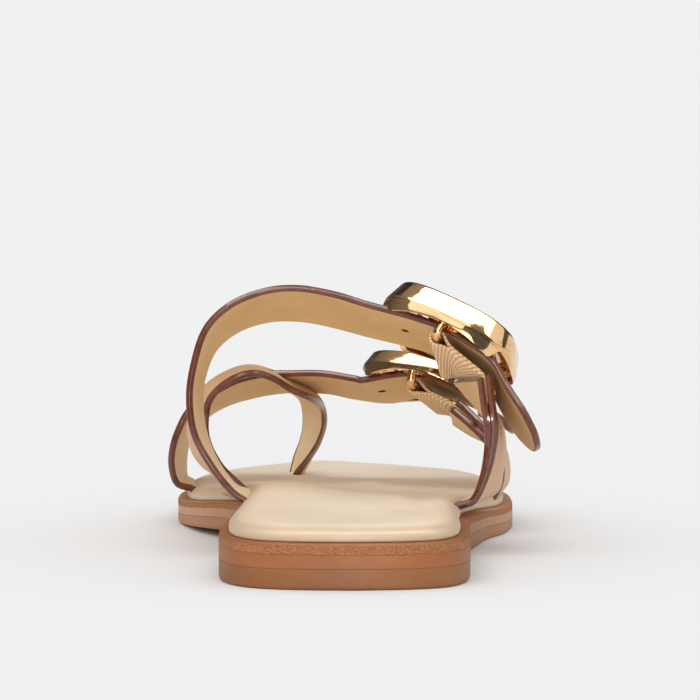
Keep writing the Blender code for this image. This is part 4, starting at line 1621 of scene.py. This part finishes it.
@dataclass
class AnchorUnit:
    """Short outer strap of two plies that part at the top to hold the webbing."""

    name: str
    form: StrapForm
    finishes: dict[str, bpy.types.Material]
    base: float = 0.0021
    split: float = 0.0044
    gap: float = 0.0005
    held: float = 0.00006
    split_start: float = 0.78
    swell: float = 0.00040

    def thickness(self, position: float) -> tuple[float, float]:
        """Total thickness and the ply's own thickness at a row position.

        Args:
            position: Row position.

        Returns:
            The total and the ply's own.
        """
        place = position / self.form.last()
        total = self.base + (self.split - self.base) * smooth((place - 0.45) / 0.5)
        gap = (self.gap + self.held) * smooth((place - self.split_start) / 0.18) - self.held
        return total, (total - gap) / 2

    def ply(self, mesh: SkinMesh, side: int, seed: float) -> None:
        """Add one ply.

        Args:
            mesh: Mesh of the anchor.
            side: 1 for the outer ply and -1 for the inner ply.
            seed: Where the ply's own unevenness starts.
        """
        cut = StripCut(thickness=0.0013, round=0.00055, step=0.0007, across=14, relief=0.0, seed=seed)
        skin = StripSkin(self.form, cut)
        half = cut.thickness / 2

        def place(column: int, row: int) -> Vector:
            """World point of a ply's section point.

            Args:
                column: Step along the piece.
                row: Step round the section.

            Returns:
                The point.
            """
            share, inset, height, face = skin.section[row]
            distance = skin.stops[column]
            position = self.form.position_at(distance)
            near, far = self.form.edges(position)
            across, outward = self.form.axes(position)[1:]
            width = (far - near).length
            total, ply = self.thickness(position)
            free = smooth((total - 2 * ply) / 0.00035)
            own_inset = inset
            if face is Face.EDGE and inset < 0 and 0 < column < len(skin.stops) - 1:
                level = (total / 2 - ply / 2) * side + height / half * ply / 2
                bulge = self.swell * (1 - (2 * level / total) ** 2)
                held = -cut.round if height * side < half * 0.5 else inset
                own_inset = inset * free + (held - bulge) * (1 - free)
            inner = cut.round + (width - 2 * cut.round) * share
            away = inner - own_inset if share > 0.5 else inner + own_inset
            end = min(distance, skin.length - distance)
            thin = 1.0
            if end < cut.round:
                rounded = 1 - (1 - end / cut.round) ** 2
                thin = 1 - cut.round / half * (1 - math.sqrt(max(0.0, rounded)))
            if column in (0, len(skin.stops) - 1):
                thin = 0.0
            level = height / half * ply / 2 * thin
            centre = (total / 2 - ply / 2) * side
            spot = near + across * away
            uneven = ripple(spot, 0.005, seed) * 0.00010
            return spot + across * uneven * (2 * share - 1) + outward * (centre + level)

        mesh.grow(len(skin.stops) - 1, len(skin.section) - 1, place, skin.spread, skin.finish)

    def build(self) -> bpy.types.Object:
        """Build both plies as one piece.

        Returns:
            The finished object.
        """
        mesh = SkinMesh()
        self.ply(mesh, 1, 2.0)
        self.ply(mesh, -1, 4.0)
        keys = ("outer", "inner", "edge")
        return mesh.finished(self.name + "_leather", [self.finishes[key] for key in keys], 55)


@dataclass
class BuckleUnit:
    """Domed gold frame with its bar and prong, and the webbing loop on the bar."""

    name: str
    strap: StrapForm
    bar_row: int
    length: float
    width: float
    dome: float
    dip: float
    slide: float
    finishes: dict[str, bpy.types.Material]
    band: float = 0.0068
    wall: float = 0.0012
    sag: float = 0.0044
    top_sag: float = 0.0004
    end_raise: float = 0.0044
    raise_blend: float = 0.0030
    bar_radius: float = 0.0012
    bar_clear: float = 0.0003
    bar_drop: float = 0.0030
    prong_radius: float = 0.0009
    prong_climb: float = 0.0055
    spacing: float = 0.0075
    strap_thickness: float = 0.0019
    webbing_thickness: float = 0.0008
    tongue: float = 0.0014
    tongue_length: float = 0.0075
    webbing_inset: float = 0.0011

    def __post_init__(self) -> None:
        """Set the buckle on its strap and lead the strap through it."""
        strap = self.strap
        row = self.bar_row + strap.seat_rows
        before = [strap.near[row - 2], strap.far[row - 2]]
        after = [strap.near[row + 2], strap.far[row + 2]]
        centre = sum(before + after, Vector()) / 4
        self.along = (sum(after, Vector()) - sum(before, Vector())).normalized()
        across = before[1] - before[0] + after[1] - after[0]
        across -= self.along * across.dot(self.along)
        self.across = across.normalized()
        self.outward = self.along.cross(self.across)
        self.origin = centre + self.along * self.slide + self.outward * self.dip
        half = self.width / 2 - self.band - 0.0004
        for step in range(-2, 3):
            s = step * self.spacing
            height = self.strap_height(s)
            strap.near[row + step] = self.place(s, -half, height)
            strap.far[row + step] = self.place(s, half, height)
        strap.measured = None

    def strap_height(self, s: float) -> float:
        """Height of the strap's middle surface over the webbing on the bar.

        Args:
            s: Distance along the strap from the bar.

        Returns:
            Height in metres.
        """
        covered = self.bar_radius + self.bar_clear + self.webbing_thickness + 0.0003
        top = -self.bar_drop + covered + self.strap_thickness / 2
        share = abs(s) / (2 * self.spacing)
        return top - (top + self.dip) * share ** 1.5

    def place(self, s: float, w: float, n: float) -> Vector:
        """World point from along, across and outward distances."""
        return self.origin + self.along * s + self.across * w + self.outward * n

    def band_section(self) -> list[tuple[float, float]]:
        """Outline of the domed band: side from -1 to 1, and share of the dome's height.

        Returns:
            The outline's points, the last one equal to the first.
        """
        wall = 2 * self.wall / self.band
        inner = [(-1.0, 0.0), (-1.0, 0.30), (-0.985, 0.42)]
        slope = [(-0.90, 0.585), (-0.80, 0.72), (-0.60, 0.865), (-0.36, 0.945), (-0.15, 0.985)]
        crest = [(0.05, 1.0), (0.24, 0.996), (0.37, 0.975), (0.43, 0.945), (0.47, 0.905)]
        facet = [(0.50, 0.872), (0.75, 0.586), (0.96, 0.340), (0.985, 0.302), (1.0, 0.255), (1.0, 0.235)]
        foot = [(1.0, 0.13), (1.0, 0.03), (0.985, 0.0), (1.0 - wall, 0.0)]
        trough = [(0.58, 0.34), (0.30, 0.42), (0.0, 0.44), (-0.30, 0.42), (-0.58, 0.34), (-1.0 + wall, 0.0)]
        outline = inner + slope + crest + facet + foot + trough
        return outline + outline[:1]

    def frame_point(self, turn: float, side: float, share: float) -> Vector:
        """Point of the frame at a turn round it and a point of the band's section.

        Args:
            turn: Turn round the frame in radians.
            side: Place across the band, from -1 inside to 1 outside.
            share: Share of the dome's height.

        Returns:
            World point.
        """
        c = math.cos(turn)
        s = math.sin(turn)
        mid_s = (self.length - self.band) / 2 * math.copysign(abs(c) ** 0.62, c)
        mid_w = (self.width - self.band) / 2 * math.copysign(abs(s) ** 0.62, s)
        out = Vector((c * abs(c) ** 0.5 / self.length, s * abs(s) ** 0.5 / self.width)).normalized()
        s_at = mid_s + out.x * side * self.band / 2
        w_at = mid_w + out.y * side * self.band / 2
        reach = abs(2 * s_at / self.length)
        arch = reach ** 2
        opening = self.width / 2 - self.band
        over = smooth((opening + self.raise_blend - abs(w_at)) / self.raise_blend)
        raised = self.end_raise * over * smooth((reach - 0.12) / 0.3)
        upper = min(1.0, share / 0.235)
        low = (raised - self.sag * arch) * (1 - upper)
        return self.place(s_at, w_at, self.dome * share + low - self.top_sag * arch * upper)

    def frame_turns(self, count: int) -> list[float]:
        """Turns round the frame that give steps of about one length.

        Args:
            count: Number of points.

        Returns:
            Turns in radians.
        """
        lengths = [0.0]
        before = self.frame_point(0.0, 0.0, 1.0)
        for index in range(1, FRAME_STEPS + 1):
            after = self.frame_point(2 * math.pi * index / FRAME_STEPS, 0.0, 1.0)
            lengths.append(lengths[-1] + (after - before).length)
            before = after
        turns = []
        index = 0
        for step in range(count + 1):
            target = lengths[-1] * step / count
            while index < FRAME_STEPS - 1 and lengths[index + 1] < target:
                index += 1
            share = (target - lengths[index]) / (lengths[index + 1] - lengths[index])
            turns.append(2 * math.pi * (index + max(0.0, min(1.0, share))) / FRAME_STEPS)
        return turns

    def rod(self, mesh: SkinMesh, path: Sequence[Vector], radius: float, taper: float = 1.0) -> None:
        """Add a round rod along a path.

        Args:
            mesh: Mesh of the piece.
            path: World points that the rod's middle follows.
            radius: Radius of the rod.
            taper: Share of the radius left at its far end.
        """
        steps = (len(path) - 1) * ROD_STEPS
        spots = [catmull(list(path), index / ROD_STEPS) for index in range(steps + 1)]
        crosswise = abs((path[-1] - path[0]).normalized().dot(self.across)) >= 0.9
        hold = self.along if crosswise else self.across

        def place(column: int, row: int) -> Vector:
            """World point on the rod.

            Args:
                column: Step along the piece.
                row: Step round the section.

            Returns:
                The point.
            """
            index = min(max(column - 1, 0), steps)
            ahead = spots[min(index + 1, steps)] - spots[max(index - 1, 0)]
            side = ahead.cross(hold).normalized()
            up = side.cross(ahead).normalized()
            turn = 2 * math.pi * row / ROD_SIDES
            size = radius * (1 + (taper - 1) * smooth((index / steps - 0.55) / 0.45))
            if column in (0, steps + 2):
                size = 0.0
            return spots[index] + (side * math.cos(turn) + up * math.sin(turn)) * size

        mesh.grow(
            steps + 2, ROD_SIDES, place,
            lambda column, row: (column * 0.001, row * 0.0004),
            lambda column, row: 0,
        )

    def build_frame(self) -> bpy.types.Object:
        """Build the frame with its bar.

        Returns:
            The finished object.
        """
        section = self.band_section()
        turns = self.frame_turns(176)
        mesh = SkinMesh()
        mesh.grow(
            len(turns) - 1, len(section) - 1,
            lambda column, row: self.frame_point(turns[column], *section[row]),
            lambda column, row: (column * 0.0008, row * 0.0008),
            lambda column, row: 0,
        )
        reach = (self.width - self.band) / 2
        low = -self.bar_drop
        bend = self.bar_radius * 0.8
        half = [(reach, self.dome * 0.60), (reach, low + bend * 2), (reach - bend, low), (reach * 0.6, low)]
        path = [self.place(0.0, -w, n) for w, n in half] + [self.place(0.0, w, n) for w, n in reversed(half)]
        self.rod(mesh, path, self.bar_radius)
        return mesh.finished(self.name + "_buckle_gold_frame", [self.finishes["gold"]], 38)

    def build_prong(self) -> bpy.types.Object:
        """Build the prong, from its eye on the bar to under the frame's end.

        Returns:
            The finished object.
        """
        eye = self.bar_radius + 0.00015
        points = []
        for angle in range(-150, 91, 40):
            turn = math.radians(angle)
            points.append(self.place(eye * math.cos(turn), 0.0, -self.bar_drop + eye * math.sin(turn)))
        lift = self.strap_thickness / 2 + 0.00035 + self.prong_radius
        reach = self.length / 2 - self.band / 2
        start = -self.bar_drop + eye
        for share in (0.14, 0.28, 0.46, 0.64, 0.82, 1.0):
            s = -reach * share
            climb = smooth(-s / self.prong_climb)
            points.append(self.place(s, 0.0, start + (self.strap_height(s) + lift - start) * climb))
        mesh = SkinMesh()
        self.rod(mesh, points, self.prong_radius, 0.72)
        return mesh.finished(self.name + "_buckle_gold_prong", [self.finishes["gold"]], 40)

    def loop_path(self, anchor: AnchorUnit, share: float) -> list[Vector]:
        """Middle line of the webbing at a share of its width.

        Args:
            anchor: Anchor that holds the webbing's tongue.
            share: 0 at the near edge and 1 at the far edge.

        Returns:
            Points from one end of the tongue, round the bar, to its other end.
        """
        form = anchor.form
        top = form.last()
        near, far = form.edges(top)
        inset = self.webbing_inset / (far - near).length
        mouths = (near.lerp(far, inset), near.lerp(far, 1 - inset))
        below_near, below_far = form.edges(top - 0.05)
        down = (below_near - near).normalized().lerp((below_far - far).normalized(), share).normalized()
        half = (mouths[1] - mouths[0]).length / 2
        centre = self.place(0.0, (share - 0.5) * 2 * min(half * 1.16, 0.0168), -self.bar_drop)
        mouth = mouths[0].lerp(mouths[1], share)
        ray = mouth - centre
        away = ray.normalized()
        side = away.cross(self.across).normalized()
        if side.dot(self.outward) < 0:
            side = -side
        radius = self.bar_radius + self.bar_clear + self.webbing_thickness / 2
        tip = self.tongue / 8
        start = math.radians(58)
        arc = []
        for step in range(17):
            turn = start + (2 * math.pi - 2 * start) * step / 16
            arc.append(centre + away * math.cos(turn) * radius + side * math.sin(turn) * radius)
        cross = down.cross(self.across).normalized()
        if cross.dot(side) < 0:
            cross = -cross
        foot = mouth + down * self.tongue_length
        outer = [foot + cross * tip, mouth.lerp(foot, 0.4) + cross * tip, mouth + (cross + side) * tip / 2]
        inner = [mouth - (cross + side) * tip / 2, mouth.lerp(foot, 0.4) - cross * tip, foot - cross * tip]
        close = self.webbing_thickness / 2
        seam = centre + away * min(radius * 2.3, ray.length * 0.6)
        halfway = mouth.lerp(seam, 0.5)
        outer += [halfway + side * close, seam + side * close]
        return outer + arc + [seam - side * close, halfway - side * close] + inner

    def build_webbing(self, anchor: AnchorUnit) -> bpy.types.Object:
        """Build the webbing loop as one strip of two plies.

        Args:
            anchor: Anchor that holds its tongue.

        Returns:
            The finished object.
        """
        form = StrapForm((), 1.0, self.strap.sole, crown=0.0)
        form.near = self.loop_path(anchor, 0.0)
        form.far = self.loop_path(anchor, 1.0)
        cut = StripCut(
            thickness=self.tongue / 2 + 0.00006, round=0.00022, bead=0.00005, step=0.0005, across=20,
            unevenness=0.00026, relief=0.0, seed=9.0, tongue=self.tongue_length,
        )
        mesh = SkinMesh()
        StripSkin(form, cut).add_to(mesh)
        for face in mesh.bm.faces:
            face.material_index = 0
        return mesh.finished(self.name + "_webbing_loop", [self.finishes["webbing"]], 60)


@dataclass
class Studio:
    """Plain pale floor, soft lights and the camera at the photograph's angle."""

    floor_tone: Color = (0.75, 0.75, 0.75)
    sky: float = 0.86
    sun: float = 0.95
    fill: float = 0.9
    elevation: float = math.radians(4.35)
    distance: float = 1.75
    focus: tuple[float, float, float] = (0.0, -0.030, 0.0)
    pixels: float = 700.0
    focal_pixels: float = 6860.0
    camera_rise: float = 0.0615
    camera_side: float = 0.0014

    def card(self, name: str, centre: Vector, turn: Vector, size: tuple[float, float], glow: float) -> None:
        """Add a panel that only shows in polished surfaces.

        Args:
            name: Name of the panel.
            centre: Its middle.
            turn: Point that it faces.
            size: Its width and height.
            glow: Its brightness; 0 is black.
        """
        bm = bmesh.new()
        bmesh.ops.create_grid(bm, x_segments=1, y_segments=1, size=0.5)
        face = (turn - centre).to_track_quat("Z", "Y")
        for vert in bm.verts:
            vert.co = centre + face @ Vector((vert.co.x * size[0], vert.co.y * size[1], 0.0))
        mesh = bpy.data.meshes.new(name)
        bm.to_mesh(mesh)
        bm.free()
        panel = bpy.data.objects.new(name, mesh)
        bpy.context.scene.collection.objects.link(panel)
        finish = bpy.data.materials.new(name)
        finish.use_nodes = True
        nodes = finish.node_tree.nodes
        nodes.clear()
        lamp = nodes.new("ShaderNodeEmission")
        lamp.inputs["Color"].default_value = (1.0, 1.0, 1.0, 1.0)
        lamp.inputs["Strength"].default_value = glow
        out = nodes.new("ShaderNodeOutputMaterial")
        finish.node_tree.links.new(lamp.outputs[0], out.inputs[0])
        mesh.materials.append(finish)
        panel.visible_camera = False
        panel.visible_diffuse = False
        panel.visible_shadow = False
        panel.visible_transmission = False

    def build_floor(self) -> None:
        """Lay a floor that fills the whole view."""
        bm = bmesh.new()
        bmesh.ops.create_grid(bm, x_segments=2, y_segments=2, size=15.0)
        mesh = bpy.data.meshes.new("studio_floor")
        bm.to_mesh(mesh)
        bm.free()
        floor = bpy.data.objects.new("studio_floor", mesh)
        bpy.context.scene.collection.objects.link(floor)
        finish = bpy.data.materials.new("pale_floor")
        finish.use_nodes = True
        shader = finish.node_tree.nodes["Principled BSDF"]
        shader.inputs["Base Color"].default_value = (*self.floor_tone, 1.0)
        shader.inputs["Roughness"].default_value = 1.0
        shader.inputs["Specular IOR Level"].default_value = 0.0
        mesh.materials.append(finish)

    def lamp(self, name: str, energy: float, angle: float, turn: tuple[float, float, float]) -> None:
        """Hang one wide distant lamp.

        Args:
            name: Name of the lamp.
            energy: Its strength.
            angle: Its width in degrees, which softens the shadows.
            turn: Its rotation in degrees.
        """
        made = bpy.data.lights.new(name, "SUN")
        made.energy = energy
        made.angle = math.radians(angle)
        made.specular_factor = 0.0
        light = bpy.data.objects.new(name, made)
        light.rotation_euler = tuple(math.radians(value) for value in turn)
        bpy.context.scene.collection.objects.link(light)

    def build_light(self) -> None:
        """Hang the soft lights and the panels for the polished metal."""
        scene = bpy.context.scene
        world = bpy.data.worlds.new("studio_sky")
        world.use_nodes = True
        tree = world.node_tree
        sky = tree.nodes["Background"]
        sky.inputs["Color"].default_value = (1.0, 1.0, 1.0, 1.0)
        scene.world = world
        coords = tree.nodes.new("ShaderNodeTexCoord")
        parts = tree.nodes.new("ShaderNodeSeparateXYZ")
        height = tree.nodes.new("ShaderNodeMapRange")
        path = tree.nodes.new("ShaderNodeLightPath")
        blend = tree.nodes.new("ShaderNodeMix")
        for socket, number in zip(height.inputs[1:5], (0.45, 1.0, 0.10, 0.34)):
            socket.default_value = number
        blend.inputs[2].default_value = self.sky
        tree.links.new(coords.outputs["Generated"], parts.inputs[0])
        tree.links.new(parts.outputs["Z"], height.inputs[0])
        tree.links.new(path.outputs["Is Glossy Ray"], blend.inputs[0])
        tree.links.new(height.outputs[0], blend.inputs[3])
        tree.links.new(blend.outputs[0], sky.inputs["Strength"])
        self.lamp("soft_overhead", self.sun, 60, (28, -10, 0))
        self.lamp("low_fill", self.fill, 40, (81, -14, 0))
        middle = Vector((0.0, 0.08, 0.03))
        below = Vector((0.25, 0.08, 0.03))
        self.card("bright_panel_over", Vector((0.25, -0.20, 1.55)), below, (2.2, 0.74), 6.0)
        self.card("bright_panel_right", Vector((1.30, -0.10, 1.05)), middle, (0.75, 1.1), 3.0)
        self.card("glint_panel_behind", Vector((0.15, -2.30, 0.30)), middle, (0.6, 0.4), 26.0)
        self.card("pale_panel_side", Vector((1.5, 0.1, 0.45)), middle, (1.0, 0.7), 0.9)
        self.card("dark_panel_ahead", Vector((0.1, 1.2, 1.1)), middle, (2.0, 0.8), 0.04)

    def build_camera(self) -> None:
        """Set the camera as the photograph was taken."""
        scene = bpy.context.scene
        lens = bpy.data.cameras.new("photo_camera")
        camera = bpy.data.objects.new("photo_camera", lens)
        scene.collection.objects.link(camera)
        scene.camera = camera
        e = self.elevation
        forward = Vector((0.0, math.cos(e), -math.sin(e)))
        upward = Vector((0.0, math.sin(e), math.cos(e)))
        camera.location = Vector(self.focus) - forward * self.distance + upward * self.camera_rise
        camera.location.x += self.camera_side
        camera.rotation_euler = (math.pi / 2 - e, 0.0, 0.0)
        lens.sensor_width = 36.0
        lens.lens = self.focal_pixels * 36.0 / self.pixels
        lens.clip_start = 0.05
        lens.clip_end = 60.0
        scene.view_settings.view_transform = "Standard"
        scene.view_settings.look = "None"

    def build(self) -> None:
        """Build floor, lights and camera."""
        self.build_floor()
        self.build_light()
        self.build_camera()


def dress(piece: bpy.types.Object, node: str, slot: str) -> None:
    """Put a piece in the place of its CAD node and report it.

    Args:
        piece: The new piece.
        node: CAD node that it replaces.
        slot: Name of a material slot; not used.
    """
    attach(piece, BODY)
    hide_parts(node)
    LOG.info("%s stands for %s: %d faces", piece.name, node, len(piece.data.polygons))


def main() -> None:
    """Build every piece in order."""
    logging.basicConfig(level=logging.INFO, format="%(message)s")
    Studio().build()
    finishes = Finishes().made()
    sole = SoleForm()
    for piece, node, slot in SoleUnit(sole, finishes).build():
        dress(piece, node, slot)

    instep = StrapForm(INSTEP_ROWS, 0.0714, sole, (0.317, 0.429), -1)
    front = StrapForm(FRONT_ROWS, 0.0440, sole, (0.655, 0.754), -1)
    toe = StrapForm(TOE_ROWS, 0.0440, sole, (0.434, 0.532), -1, 0.0020)
    instep_anchor = StrapForm(INSTEP_ANCHOR_ROWS, 0.0714, sole, (0.325, 0.468), 1)
    front_anchor = StrapForm(FRONT_ANCHOR_ROWS, 0.0440, sole, (0.563, 0.679), 1)
    buckles = (
        BuckleUnit("instep", instep, 13, 0.0388, 0.0425, 0.0080, 0.0015, 0.0012, finishes),
        BuckleUnit("front", front, 13, 0.0348, 0.0415, 0.0054, 0.0031, 0.0024, finishes),
    )
    tailed = StripCut(tail_round=0.0090, seed=1.0)
    straps = (
        StrapUnit("instep_strap", instep, tailed, finishes, (11.35,)),
        StrapUnit("front_strap", front, StripCut(tail_round=0.0090, seed=2.0), finishes, (11.2,)),
    )
    for strap in straps:
        dress(strap.build(), strap.name, "strap_leather")
    toe_strap = StrapUnit("toe_strap", toe, StripCut(seed=3.0), finishes)
    dress(toe_strap.build(front), "toe_strap", "strap_leather")
    for buckle, form in zip(buckles, (instep_anchor, front_anchor)):
        anchor = AnchorUnit(buckle.name + "_anchor", form, finishes)
        dress(anchor.build(), anchor.name, "strap_leather")
        dress(buckle.build_frame(), buckle.name + "_buckle_frame", "gold_metal")
        dress(buckle.build_prong(), buckle.name + "_buckle_prong", "gold_metal")
        dress(buckle.build_webbing(anchor), buckle.name + "_webbing", "webbing_fabric")


if __name__ == "__main__":
    main()
